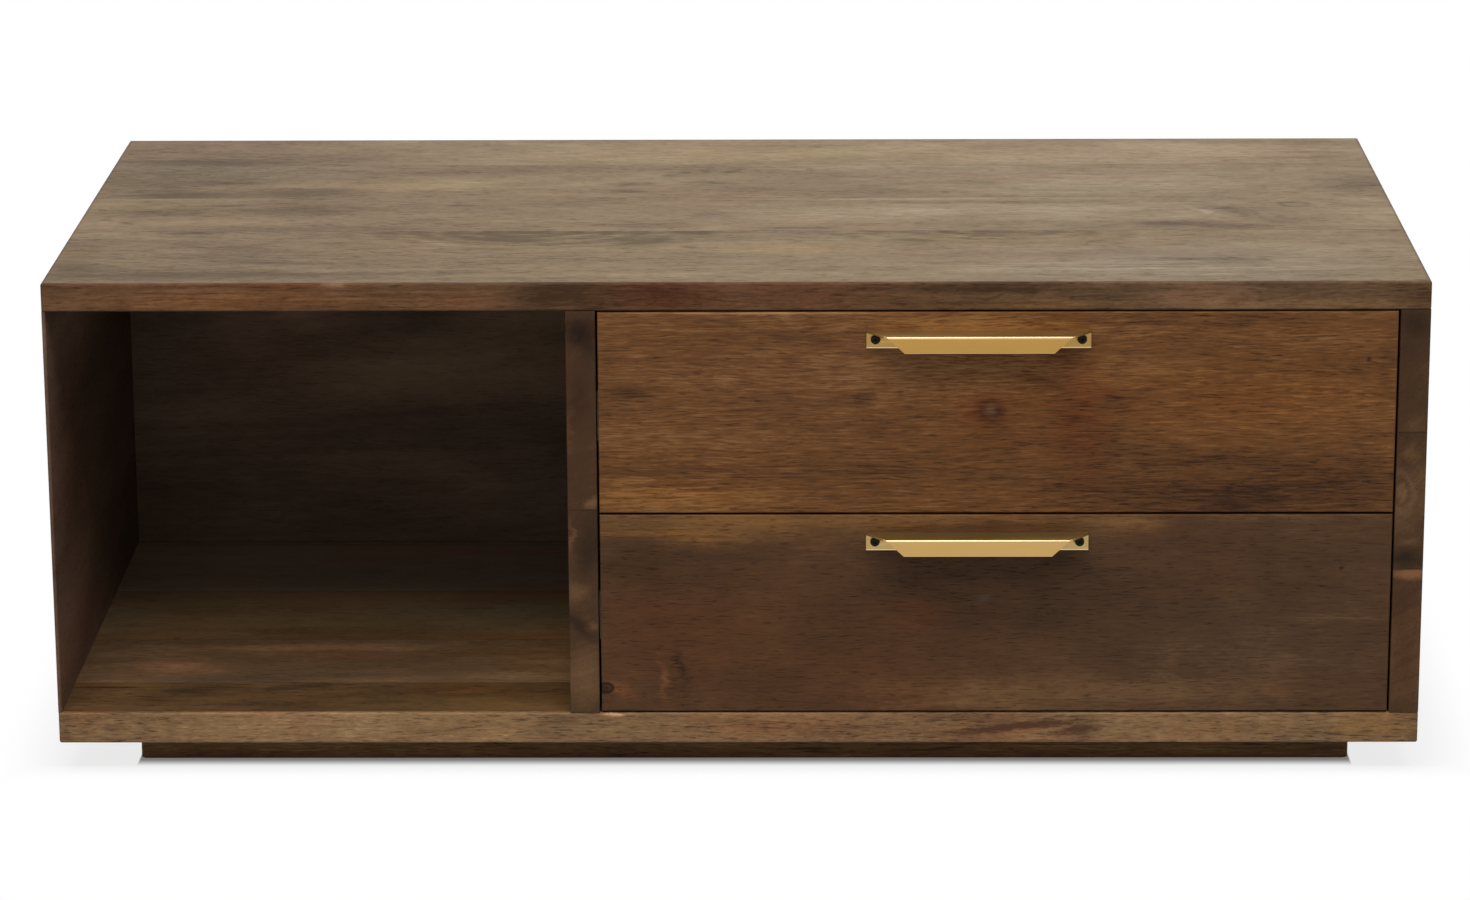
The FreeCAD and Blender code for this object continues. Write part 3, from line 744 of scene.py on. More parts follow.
def wood(name, axes, seed, stain, figure=Figure(), level=0.5, pith=(0.0, -0.15), marks=(), knots=(),
         joints=(), hues=(), rim_tint=None, hidden_tint=None, roughness=0.50):
    """Makes the wood of one board. axes names those of the table along, across and through its grain.
    A rim tint changes the slab's outer edges, a hidden tint all but the floor of the open bay."""
    material, place = new_material(name)
    board = board_axes(place, axes, knots)
    grain = grain_of(board, figure, level, pith, seed)
    tone = grain.tone
    if rim_tint:
        speckle = layer(place, SPECKLE, seed) - 0.5
        tone = tone + speckle * near_front_of(board) * EDGE_SPECKLE
    tone, hue_humps = add_marks(tone, board, grain, marks)
    tone = add_joints(add_knots(tone, board, knots), board, joints)

    stops = list(zip(RAMP_PLACES, (stain.dark, stain.middle, stain.pale)))
    colour = tone.node("ShaderNodeValToRGB", {"stops": stops}, {"Fac": tone})
    colour = add_hues(colour, grain, hues)
    if rim_tint:
        colour = tint(colour, rim_share(board), rim_tint)
    # The bay's floor keeps its painted light and shade; this tint takes it back everywhere else.
    if hidden_tint:
        colour = tint(colour, 1.0 - bay_floor_share(board), hidden_tint)
    for hump, hue in hue_humps:
        colour = tint(colour, hump, hue)
    rough = (1.0 - tone) * TONE_DULLS + (roughness + grain.pores * PORES_DULL)
    shade(place, {"Base Color": colour, "Roughness": rough}, WAXED,
          grain.fibres * FIBRE_HEIGHT - grain.pores, WOOD_RELIEF)
    return material


print("the wood's relief is", WOOD_RELIEF, "m deep")

# %% [markdown]
# A CAD node whose shape is right stays as it is and only gets a better material, through its material slot.
# All boards of the table are such nodes. No two come from the same place in a tree, so each has a seed, and
# with it grain of its own. Boards of one kind have seeds that lie a stride apart.

# %% Dress a node
BOARD_SEEDS = {
    "top": (0.0, 3.1), "base": (40.0, 2.7), "divider": (60.0, 3.3), "right_end": (80.0, 4.3),
    "left_end": (101.0, 0.0), "back_panel": (111.0, 0.0), "upper_front": (121.0, 0.0),
    "lower_front": (131.0, 0.0), "plinth_rail": (141.0, 1.0), "plinth_block": (149.0, 0.0),
    "box_side": (160.0, 7.0), "box_bottom": (180.0, 1.0), "box_dowel": (184.0, 1.0),
    "carcass_dowel": (187.0, 0.0),
}


def dress(node, material):
    """Puts a material on every slot of a CAD node."""
    materials = frame["nodes"][node].data.materials
    materials.clear()
    materials.append(material)


def finish_board(node, *values, **more):
    """Dresses a node in wood of its own, named after it. The values are those of wood."""
    dress(node, wood(node, *values, **more))


def seed_of(kind, number=0):
    """Returns the seed of one board of its kind."""
    start, stride = BOARD_SEEDS[kind]
    return start + stride * number


print("kinds of boards:", len(BOARD_SEEDS))

# %% [markdown]
# The top slab is glued up from four boards, whose joints follow from the frame: each board's box says where
# it ends. One wide grain over the whole slab would look like veneer. The marks are placed from the picture,
# board by board, front to back.

# %% Marks of the top slab
top_marks = {
    1: [Mark((-0.185, -0.09), (0.25, 0.13), -0.3, 3.0, rings=8.0, hue=OLIVE),
        Mark((0.235, -0.09), (0.25, 0.11), -0.24, -3.0, rings=7.0, hue=OLIVE),
        Mark((-0.2, -0.225), (0.24, 0.11), -0.15),
        Mark((0.42, -0.23), (0.34, 0.15), 0.04, hue=GREYED),
        edge_mark((-0.345, 0.4485), (0.022, 0.0035), 0.5),
        Mark((-0.16, -0.094), (0.26, 0.012), -0.34),
        Mark((0.2, -0.098), (0.22, 0.012), -0.22),
        Mark((-0.215, -0.121), (0.07, 0.024), -0.36, hue=OLIVE),
        Mark((-0.08, -0.131), (0.05, 0.026), -0.26, hue=OLIVE),
        Mark((0.16, -0.128), (0.05, 0.02), -0.2, hue=OLIVE),
        Mark((-0.495, -0.094), (0.045, 0.01), -0.44),
        Mark((-0.035, -0.098), (0.024, 0.01), -0.28),
        Mark((-0.037, -0.154), (0.014, 0.01), -0.28),
        Mark((0.04, -0.16), (0.12, 0.034), 0.1, hue=GOLDEN),
        Mark((-0.46, -0.2), (0.24, 0.15), -0.16),
        Mark((0.35, -0.235), (0.32, 0.05), 0.16, -5.0, streaky=True),
        Mark((0.4, -0.203), (0.1, 0.014), -0.24, -4.0, hue=GREYED),
        Mark((-0.45, -0.258), (0.16, 0.03), -0.34),
        Mark((-0.4, -0.211), (0.09, 0.012), -0.24, -5.0),
        Mark((-0.28, -0.255), (0.13, 0.022), -0.12, 6.0),
        Mark((-0.58, -0.2), (0.03, 0.09), -0.12, hue=OLIVE),
        edge_mark((-0.42, 0.434), (0.22, 0.012), 0.12, hue=GOLDEN),
        edge_mark((-0.5, 0.444), (0.07, 0.006), 0.1),
        edge_mark((-0.39, 0.447), (0.06, 0.006), -0.16, hue=REDDENED),
        edge_mark((-0.15, 0.438), (0.07, 0.03), -0.44),
        edge_mark((-0.07, 0.44), (0.08, 0.034), -0.34, hue=REDDENED),
        edge_mark((-0.06, 0.438), (0.07, 0.02), 0.0, hue=REDDENED),
        edge_mark((-0.23, 0.434), (0.06, 0.016), 0.14, hue=REDDENED),
        edge_mark((0.22, 0.446), (0.12, 0.008), -0.26),
        edge_mark((0.4, 0.436), (0.07, 0.016), 0.16, hue=REDDENED),
        edge_mark((0.05, 0.438), (0.13, 0.03), -0.08, hue=REDDENED),
        edge_mark((-0.44, 0.436), (0.3, 0.03), 0.18, hue=REDDENED),
        edge_mark((-0.36, 0.438), (0.3, 0.03), -0.16, streaky=True),
        edge_mark((0.3, 0.438), (0.34, 0.03), -0.14, streaky=True),
        edge_mark((0.5, 0.43), (0.16, 0.008), 0.14, hue=GOLDEN),
        edge_mark((0.27, 0.43), (0.1, 0.008), 0.1, hue=GOLDEN),
        edge_mark((0.59, 0.438), (0.04, 0.02), -0.22),
        Mark((-0.27, -0.112), (0.5, 0.05), -0.1),
        Mark((-0.58, -0.25), (0.1, 0.08), -0.24),
        Mark((0.28, -0.2), (0.4, 0.15), 0.0, hue=SMOKED)],
    2: [Mark((0.23, -0.011), (0.28, 0.05), 0.2),
        Mark((0.1, -0.024), (0.13, 0.06), 0.16),
        Mark((-0.27, -0.08), (0.5, 0.036), -0.12),
        Mark((0.3, 0.0), (0.4, 0.13), 0.03, hue=SMOKED),
        Mark((-0.42, -0.01), (0.36, 0.11), -0.18),
        Mark((0.12, 0.042), (0.22, 0.005), 0.22),
        Mark((0.23, 0.027), (0.16, 0.011), -0.22),
        Mark((0.4, -0.062), (0.06, 0.02), -0.36),
        Mark((0.445, -0.072), (0.045, 0.016), -0.3),
        Mark((0.428, -0.012), (0.045, 0.006), 0.3, -55.0),
        Mark((0.448, -0.008), (0.055, 0.012), -0.24, -58.0),
        Mark((0.47, -0.02), (0.05, 0.008), -0.2, -62.0),
        Mark((0.495, -0.045), (0.06, 0.06), -0.12),
        Mark((0.58, -0.02), (0.055, 0.08), 0.18),
        Mark((-0.08, -0.062), (0.18, 0.024), -0.14, hue=ROSY),
        Mark((0.055, -0.077), (0.07, 0.005), -0.34),
        Mark((-0.395, 0.004), (0.09, 0.04), -0.3, hue=OLIVE),
        Mark((-0.52, 0.0), (0.1, 0.06), -0.16, hue=OLIVE),
        Mark((-0.47, 0.019), (0.04, 0.007), -0.3),
        Mark((-0.26, 0.019), (0.036, 0.009), -0.3),
        Mark((-0.54, -0.006), (0.026, 0.007), -0.32),
        Mark((-0.56, -0.052), (0.04, 0.005), -0.34, -40.0),
        Mark((-0.3, -0.041), (0.06, 0.006), -0.18),
        Mark((-0.03, -0.02), (0.02, 0.03), -0.14)],
    3: [Mark((-0.3, 0.105), (0.17, 0.055), 0.18, hue=OLIVE),
        Mark((-0.56, 0.12), (0.16, 0.11), -0.2),
        Mark((0.4, 0.12), (0.34, 0.11), 0.16),
        Mark((-0.525, 0.062), (0.07, 0.034), -0.34, hue=OLIVE),
        Mark((-0.41, 0.072), (0.11, 0.036), -0.3, hue=OLIVE),
        Mark((-0.48, 0.114), (0.045, 0.015), -0.32),
        Mark((-0.27, 0.158), (0.18, 0.026), -0.18, hue=ROSY),
        Mark((-0.1, 0.109), (0.038, 0.013), -0.3, 10.0),
        Mark((-0.06, 0.15), (0.028, 0.01), -0.28, 60.0),
        Mark((-0.03, 0.166), (0.022, 0.008), -0.26, 70.0),
        Mark((-0.004, 0.168), (0.024, 0.009), -0.28, 65.0),
        Mark((0.03, 0.183), (0.07, 0.006), -0.28),
        Mark((-0.02, 0.114), (0.05, 0.007), -0.3, -8.0),
        Mark((-0.105, 0.075), (0.04, 0.011), -0.28, -12.0),
        Mark((0.05, 0.078), (0.28, 0.026), -0.14, hue=ROSY),
        Mark((0.27, 0.14), (0.26, 0.045), 0.0, hue=ROSY),
        Mark((-0.49, 0.18), (0.18, 0.05), -0.2, hue=GREYED),
        Mark((0.575, 0.104), (0.06, 0.055), -0.24),
        Mark((-0.4, 0.124), (0.14, 0.056), -0.2),
        Mark((0.09, 0.196), (0.13, 0.06), 0.22),
        Mark((0.34, 0.11), (0.34, 0.13), 0.04, hue=SMOKED)],
    4: [Mark((0.03, 0.245), (0.36, 0.07), 0.14, hue=OLIVE),
        Mark((0.38, 0.245), (0.34, 0.1), 0.22),
        Mark((-0.5, 0.23), (0.24, 0.13), -0.32, hue=ROSY),
        Mark((-0.52, 0.205), (0.12, 0.03), -0.14, hue=GREYED),
        Mark((0.54, 0.246), (0.08, 0.008), -0.3),
        Mark((0.53, 0.222), (0.08, 0.008), -0.26),
        Mark((0.14, 0.27), (0.1, 0.06), 0.16)],
}
top_knots = {2: [Knot((0.51, 0.017), 0.016, -0.2, -0.1)]}
print("marks on the top:", sum(len(marks) for marks in top_marks.values()))

# %% [markdown]
# All four boards share a stain and a figure, and differ in their level of tone and in where their pith lies,
# so each shows its rings in another way. The slab's edges are darker than its face, which takes a rim tint:
# a second stain for them would need a border between two materials on one board.

# %% Top slab
TOP_RIM_TINT = (0.62, 0.50, 0.47)
top_looks = {1: (0.44, (-0.14, 0.37)), 2: (0.48, (-0.02, 0.30)), 3: (0.43, (0.13, 0.34)),
             4: (0.54, (0.25, 0.22))}
top_figure = Figure(rings=0.22, streaks=0.26, fibres=0.72, pores=0.6, clouds=0.50, smudges=0.78, lines=0.14,
                    streak_scale=(13.0, 110.0, 110.0), smudge_scale=(12.0, 30.0, 30.0))
top_joints = sorted(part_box(f"top_board_{number}")[1].y for number in (1, 2, 3))
for number, (level, pith) in top_looks.items():
    finish_board(f"top_board_{number}", "xyz", seed_of("top", number), KHAKI_WALNUT, top_figure, level, pith,
                 top_marks[number], top_knots.get(number, ()), top_joints, hues=(ROSY,),
                 rim_tint=TOP_RIM_TINT)
print("top joints at", [round(y, 4) for y in top_joints])

# %% [markdown]
# The base slab is made like the top. Deep in the bay hardly any light arrives, so in the stain of the top
# its boards would come out black. A lamp in the bay would help, but the real table has none. So the bay's
# floor is painted: paler stains deep in it are painted light, darker tones in front are painted shade, which
# evens out the real fall of light, and a hidden tint takes that back wherever the boards show outside it.

# %% Marks of the base slab
base_marks = {
    1: [Mark((-0.49, -0.225), (0.07, 0.03), -0.18, 10.0, hue=GREYED),
        Mark((-0.4, -0.217), (0.06, 0.016), -0.18, 12.0, hue=GREYED),
        Mark((-0.43, -0.262), (0.07, 0.014), -0.16, hue=GREYED),
        Mark((-0.25, -0.24), (0.24, 0.06), 0.0, hue=OLIVE),
        edge_mark((-0.107, 0.059), (0.014, 0.003), 0.5),
        Mark((-0.565, -0.215), (0.05, 0.004), -0.4, crisp=True),
        Mark((-0.25, -0.27), (0.2, 0.02), 0.1),
        edge_mark((-0.55, 0.046), (0.09, 0.04), -0.16, rings=4.0),
        edge_mark((-0.38, 0.048), (0.26, 0.04), 0.24),
        edge_mark((0.42, 0.048), (0.2, 0.04), 0.12),
        edge_mark((-0.16, 0.046), (0.05, 0.02), -0.08),
        edge_mark((0.05, 0.046), (0.16, 0.02), -0.06, hue=REDDENED),
        edge_mark((0.25, 0.047), (0.09, 0.006), -0.4, 6.0, hue=REDDENED),
        edge_mark((0.3, 0.044), (0.03, 0.007), -0.34, 12.0, hue=REDDENED),
        edge_mark((0.45, 0.046), (0.13, 0.06), -0.08, 14.0, rings=6.0),
        edge_mark((0.56, 0.048), (0.06, 0.02), 0.1, hue=GOLDEN),
        Mark((-0.33, -0.24), (0.17, 0.07), -0.1, hue=GREYED)],
    2: [Mark((-0.19, -0.105), (0.12, 0.06), 0.12, hue=GOLDEN),
        Mark((-0.35, -0.15), (0.2, 0.09), -0.16),
        Mark((-0.175, -0.15), (0.07, 0.1), 0.14, hue=FOXY),
        Mark((-0.4, -0.098), (0.22, 0.016), 0.2, hue=REDDENED),
        Mark((-0.36, -0.125), (0.14, 0.02), 0.1, hue=REDDENED),
        Mark((-0.51, -0.155), (0.07, 0.04), 0.16, hue=REDDENED),
        Mark((-0.45, -0.19), (0.12, 0.024), -0.18, hue=GREYED),
        Mark((-0.36, -0.18), (0.07, 0.012), -0.14, hue=GREYED)],
    # Painted shade and light: board 3's first two marks darken its front and lighten its back, against the
    # real fall of light.
    3: [Mark((-0.36, -0.09), (0.6, 0.11), -0.3, hue=REDDENED),
        Mark((-0.36, 0.08), (0.4, 0.07), 0.26, hue=REDDENED),
        Mark((-0.38, -0.065), (0.17, 0.08), -0.18),
        Mark((-0.175, -0.065), (0.07, 0.08), 0.18, hue=FOXY)],
    # Painted light: this mark lightens board 4 deep in the bay.
    4: [Mark((-0.36, 0.23), (0.4, 0.12), 0.2)],
    5: [],
}
print("marks on the base:", sum(len(marks) for marks in base_marks.values()))

# %% [markdown]
# Each board of the base has a stain, hues and a hidden tint of its own. The first board's dark tone is
# painted shade on the bay's floor, so its outer edges, which show in front, get a pale rim tint that takes it
# back.

# %% Base slab
# This rim tint takes back the painted shade of the first base board on its outer edges.
BASE_RIM_TINT = (1.84, 2.08, 2.48)
DEEP_TINT = (0.42, 0.29, 0.165)
# The levels and stains on the bay's floor are painted light and shade: darker in front, paler deep in the
# bay.
base_looks = {
    1: (0.29, WALNUT, (REDDENED,), None),
    2: (0.53, UMBER, (), (1.10, 1.05, 0.90)),
    3: (0.64, KHAKI_WALNUT, (REDDENED,), (0.70, 0.54, 0.42)),
    4: (0.61, PAINTED_LIGHT_KHAKI, (REDDENED,), DEEP_TINT),
    5: (0.61, PAINTED_LIGHT_KHAKI, (REDDENED,), DEEP_TINT),
}
base_figure = Figure(rings=0.15, streaks=0.20, fibres=0.55, pores=0.6, clouds=0.40, smudges=0.65, lines=0.10,
                     streak_scale=(12.0, 100.0, 100.0), smudge_scale=(14.0, 30.0, 30.0))
base_joints = sorted(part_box(f"base_board_{number}")[1].y for number in (1, 2, 3, 4))
for number, (level, stain, hues, hidden_tint) in base_looks.items():
    finish_board(f"base_board_{number}", "xyz", seed_of("base", number), stain, base_figure, level=level,
                 pith=(-0.3 + 0.12 * number, -0.05), marks=base_marks[number], joints=base_joints, hues=hues,
                 rim_tint=BASE_RIM_TINT if number == 1 else None, hidden_tint=hidden_tint)
print("base joints at", [round(y, 4) for y in base_joints])

# %% [markdown]
# The divider stands with its grain front to back, so its front edge shows end grain: dark, cloudy and almost
# without streaks. No other recipe is needed for that. The solid texture is only turned, by naming its axes
# in another order.

# %% Divider
end_figure = Figure(rings=0.16, streaks=0.08, fibres=0.20, pores=0.2, clouds=0.80, smudges=0.20, lines=0.0,
                    ring_density=160.0)
divider_marks = {
    1: [edge_mark((-0.144, 0.222), (0.006, 0.026), 0.3, hue=REDDENED),
        edge_mark((-0.13, 0.205), (0.016, 0.04), -0.26, -12.0),
        edge_mark((-0.14, 0.17), (0.016, 0.018), 0.18),
        edge_mark((-0.136, 0.14), (0.034, 0.01), -0.34, -35.0),
        edge_mark((-0.126, 0.138), (0.008, 0.008), 0.3),
        edge_mark((-0.134, 0.085), (0.03, 0.05), 0.26)],
    2: [edge_mark((-0.134, 0.408), (0.03, 0.022), -0.4, hue=REDDENED),
        edge_mark((-0.128, 0.39), (0.016, 0.02), -0.2),
        edge_mark((-0.137, 0.345), (0.018, 0.04), -0.14, hue=REDDENED),
        edge_mark((-0.144, 0.33), (0.006, 0.06), 0.16),
        edge_mark((-0.124, 0.253), (0.012, 0.008), 0.34, 25.0)],
}
divider_joints = [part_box("divider_board_1")[1].z]
for number, level in ((1, 0.52), (2, 0.5)):
    finish_board(f"divider_board_{number}", "yzx", seed_of("divider", number), END_GRAIN, end_figure,
                 level=level, pith=(0.12 + 0.16 * number, -0.20), marks=divider_marks[number],
                 joints=divider_joints)
print("divider joint at", round(divider_joints[0], 4))

# %% [markdown]
# The right end is made like the divider, from three boards laid one on the other. Its lowest board has taken
# less stain, and a saw has cut the middle one so that it shows a few arcs.

# %% Right end
end_marks = {
    1: [edge_mark((0.59, 0.188), (0.026, 0.009), 0.6, hue=REDDENED),
        edge_mark((0.586, 0.125), (0.02, 0.04), -0.1),
        edge_mark((0.586, 0.12), (0.08, 0.11), 0.02, hue=RUSTY)],
    2: [edge_mark((0.58, 0.262), (0.022, 0.04), 0.22, 8.0, rings=2.6),
        edge_mark((0.588, 0.296), (0.01, 0.012), 0.12, hue=GOLDEN),
        edge_mark((0.588, 0.216), (0.016, 0.006), 0.1),
        edge_mark((0.586, 0.201), (0.03, 0.015), -0.4, hue=GREYED)],
    3: [edge_mark((0.588, 0.412), (0.03, 0.024), -0.3),
        edge_mark((0.588, 0.388), (0.024, 0.02), -0.12),
        edge_mark((0.588, 0.322), (0.016, 0.012), 0.12)],
}
end_joints = [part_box(f"right_end_board_{number}")[1].z for number in (1, 2)]
for number, level in ((1, 0.56), (2, 0.51), (3, 0.52)):
    finish_board(f"right_end_board_{number}", "yzx", seed_of("right_end", number), END_GRAIN, end_figure,
                 level=level, pith=(0.14 + 0.1 * number, 0.52), marks=end_marks[number], joints=end_joints)
print("right end joints at", [round(z, 4) for z in end_joints])

# %% [markdown]
# The left end is a thin board, and the back panel closes the bay. Both lie in shade, where only broad, soft
# changes of tone can be told, so their figure is quiet. The panel's large swirls are marks, one of them with
# rings.

# %% Left end and back panel
quiet_figure = Figure(rings=0.12, streaks=0.15, fibres=0.30, pores=0.3, clouds=0.70, smudges=0.45,
                      lines=0.05)
panel_figure = Figure(rings=0.20, streaks=0.14, fibres=0.36, pores=0.3, clouds=0.85, smudges=0.60,
                      lines=0.05, smudge_scale=(9.0, 16.0, 16.0))
inner_marks = [Mark((-0.22, 0.095), (0.26, 0.09), 0.02, hue=REDDENED),
               Mark((-0.18, 0.25), (0.2, 0.15), -0.22, hue=REDDENED),
               Mark((-0.06, 0.38), (0.34, 0.09), 0.16)]
finish_board("left_end_skin", "yzx", seed_of("left_end"), DUSKY_WALNUT, quiet_figure, level=0.44,
             pith=(0.2, -0.9), marks=inner_marks)
swirls = [Mark((-0.38, 0.33), (0.14, 0.11), -0.5, 20.0, rings=1.6),
          Mark((-0.32, 0.34), (0.11, 0.09), -0.34, -15.0, hue=GREYED),
          Mark((-0.26, 0.4), (0.16, 0.04), 0.26, -8.0),
          Mark((-0.44, 0.29), (0.14, 0.05), 0.3, 24.0, hue=RUSTY),
          Mark((-0.33, 0.235), (0.2, 0.05), 0.34, hue=OLIVE),
          Mark((-0.2, 0.29), (0.16, 0.12), 0.2, hue=OLIVE),
          Mark((-0.22, 0.33), (0.16, 0.006), -0.3),
          Mark((-0.3, 0.18), (0.3, 0.05), -0.2)]
finish_board("back_panel", "xzy", seed_of("back_panel"), DUSKY_WALNUT, panel_figure, level=0.56,
             pith=(0.3, 0.12), marks=swirls)
print("marks inside the bay:", len(inner_marks) + len(swirls))

# %% [markdown]
# The upper drawer front is the liveliest board: warm, with fine bright streaks, and a knot right of its
# middle. A Knot would bend the grain, but here it runs through almost undisturbed, so crisp marks draw it: a
# dark patch, a darker middle and a pale heart.

# %% Upper drawer front
upper_marks = [
    Mark((-0.06, 0.285), (0.2, 0.08), 0.12),
    # Painted light: lightens the wood in the real shadow below the pull.
    Mark((0.19, 0.362), (0.17, 0.04), 0.14),
    Mark((0.04, 0.37), (0.26, 0.11), 0.02, hue=ASHEN),
    # Painted highlight: a pale line along the front's top edge.
    Mark((0.02, 0.4226), (0.18, 0.0025), 0.36, crisp=True),
    Mark((-0.053, 0.258), (0.14, 0.026), 0.12, hue=GOLDEN),
    Mark((-0.06, 0.272), (0.13, 0.03), -0.14, streaky=True),
    Mark((0.12, 0.285), (0.22, 0.03), -0.08, streaky=True),
    Mark((0.0, 0.408), (0.14, 0.01), 0.1, streaky=True),
    # Painted light: lightens the real contact shade just above the pull.
    Mark((0.2, 0.412), (0.13, 0.012), 0.2),
    Mark((0.075, 0.398), (0.07, 0.01), -0.12, -8.0),
    Mark((-0.094, 0.3525), (0.036, 0.008), -0.28, hue=GREYED),
    Mark((0.11, 0.3475), (0.018, 0.009), -0.26, 25.0),
    Mark((0.1, 0.335), (0.05, 0.012), 0.08),
    Mark((0.215, 0.3355), (0.034, 0.022), -0.18, 4.0, hue=REDDENED, crisp=True),
    Mark((0.2212, 0.3362), (0.017, 0.018), -0.4, crisp=True),
    Mark((0.225, 0.3362), (0.009, 0.011), 0.06, hue=ASHEN, crisp=True),
    Mark((0.2205, 0.3362), (0.009, 0.009), 0.66, hue=SILVERED, crisp=True),
    Mark((0.3, 0.33), (0.04, 0.1), -0.1, hue=REDDENED),
    Mark((0.266, 0.3605), (0.036, 0.007), -0.22, -20.0),
    Mark((0.293, 0.329), (0.014, 0.007), -0.18, hue=REDDENED),
    Mark((0.36, 0.368), (0.1, 0.034), 0.14, rings=3.0),
    Mark((0.45, 0.345), (0.19, 0.055), 0.12, hue=GOLDEN),
    Mark((0.46, 0.268), (0.24, 0.06), -0.24),
    Mark((0.43, 0.262), (0.22, 0.03), -0.08, 2.0, streaky=True),
    Mark((0.395, 0.29), (0.09, 0.008), -0.16, 3.0),
    Mark((0.535, 0.275), (0.06, 0.03), -0.14),
    Mark((0.32, 0.285), (0.06, 0.06), -0.06),
    Mark((0.42, 0.345), (0.16, 0.04), -0.12, hue=ROSY),
    Mark((-0.01, 0.4), (0.12, 0.03), -0.12),
    Mark((0.24, 0.335), (0.14, 0.06), 0.0, hue=RUSTY),
    Mark((0.4, 0.415), (0.2, 0.01), -0.14, streaky=True),
    Mark((0.565, 0.37), (0.014, 0.06), -0.14),
    Mark((0.5475, 0.3808), (0.004, 0.003), -0.45, 60.0, crisp=True),
]
upper_figure = Figure(rings=0.18, streaks=0.36, fibres=1.10, pores=0.60, clouds=0.40, smudges=0.44,
                      lines=0.16, streak_scale=(34.0, 430.0, 430.0))
finish_board("upper_drawer_front", "xzy", seed_of("upper_front"), WARM_WALNUT, upper_figure, level=0.47,
             pith=(0.10, 0.10), marks=upper_marks)
print("marks on the upper drawer:", len(upper_marks))

# %% [markdown]
# The lower drawer front comes from another board: darker, smoother and cloudier. Its upper rim is pale, and
# near its lower left corner it has a real knot that bends the grain, dark all through.

# %% Lower drawer front
lower_marks = [
    Mark((-0.02, 0.232), (0.26, 0.028), 0.27, -3.0, hue=GOLDEN),
    Mark((0.06, 0.238), (0.16, 0.014), 0.2, hue=GOLDEN),
    Mark((0.08, 0.14), (0.34, 0.14), 0.0, hue=FOXY),
    Mark((-0.03, 0.19), (0.13, 0.04), -0.16),
    Mark((0.15, 0.078), (0.5, 0.03), 0.1),
    Mark((-0.05, 0.222), (0.1, 0.012), 0.12, -4.0, hue=GOLDEN, streaky=True),
    Mark((0.21, 0.2385), (0.16, 0.01), 0.34, hue=GOLDEN),
    Mark((0.345, 0.234), (0.06, 0.018), 0.26, hue=GOLDEN),
    Mark((0.47, 0.239), (0.14, 0.007), 0.14),
    Mark((0.46, 0.212), (0.18, 0.024), -0.1, -4.0),
    Mark((0.22, 0.165), (0.24, 0.07), -0.16),
    Mark((0.157, 0.15), (0.04, 0.026), 0.1, hue=REDDENED),
    Mark((0.217, 0.1655), (0.01, 0.005), 0.26, 30.0, hue=SILVERED, crisp=True),
    Mark((-0.03, 0.16), (0.14, 0.075), 0.08, hue=RUSTY),
    Mark((-0.064, 0.09), (0.007, 0.034), 0.26, 8.0),
    Mark((-0.048, 0.102), (0.006, 0.032), -0.26, 8.0),
    Mark((-0.1, 0.08), (0.03, 0.01), 0.2, -20.0, hue=REDDENED),
    Mark((-0.06, 0.13), (0.1, 0.07), -0.14, hue=RUSTY),
    Mark((-0.09, 0.2), (0.07, 0.05), -0.14, hue=OLIVE),
    Mark((0.02, 0.085), (0.14, 0.03), -0.08),
    Mark((0.46, 0.12), (0.22, 0.08), 0.08, hue=GREYED),
    Mark((0.53, 0.147), (0.08, 0.007), 0.16),
    Mark((0.19, 0.068), (0.12, 0.007), 0.16),
    Mark((0.33, 0.08), (0.32, 0.02), 0.14),
    Mark((0.529, 0.193), (0.004, 0.003), -0.4, 45.0, crisp=True),
]
lower_figure = Figure(rings=0.10, streaks=0.12, fibres=0.50, pores=0.60, clouds=0.40, smudges=0.60,
                      lines=0.05, streak_scale=(16.0, 130.0, 130.0), smudge_scale=(16.0, 26.0, 26.0))
corner_knot = Knot((-0.115, 0.083), 0.007, -0.5, -0.6)
finish_board("lower_drawer_front", "xzy", seed_of("lower_front"), COOL_WALNUT, lower_figure, level=0.44,
             pith=(-0.05, 0.15), marks=lower_marks, knots=[corner_knot], hues=(RUSTY,))
print("marks on the lower drawer:", len(lower_marks))

# %% [markdown]
# The plinth is a frame of five rails with blocks in its corners. The rails have their grain along them, and
# the blocks have theirs upright. It stands in the shadow of the base, so it needs no marks.

# %% Plinth
PLINTH_GRAINS = {"front": "xzy", "back": "xzy", "left": "yzx", "right": "yzx", "cross": "yzx"}
for number, (rail, axes) in enumerate(PLINTH_GRAINS.items()):
    finish_board(f"plinth_{rail}_rail", axes, seed_of("plinth_rail", number), WALNUT, level=0.48)
finish_board("plinth_corner_blocks", "zxy", seed_of("plinth_block"), WALNUT, level=0.6)
print("plinth rails:", len(PLINTH_GRAINS))

# %% [markdown]
# The drawer boxes aren't stained. Their sides are pale wood, their bottoms are bare plywood, and the dowels
# are near enough to it in colour to share its stain. They show only when a drawer is pulled out, but they
# are as much wood as the rest, so the same recipe makes them. The sides of one box have names of different
# lengths, which moves their seeds apart.

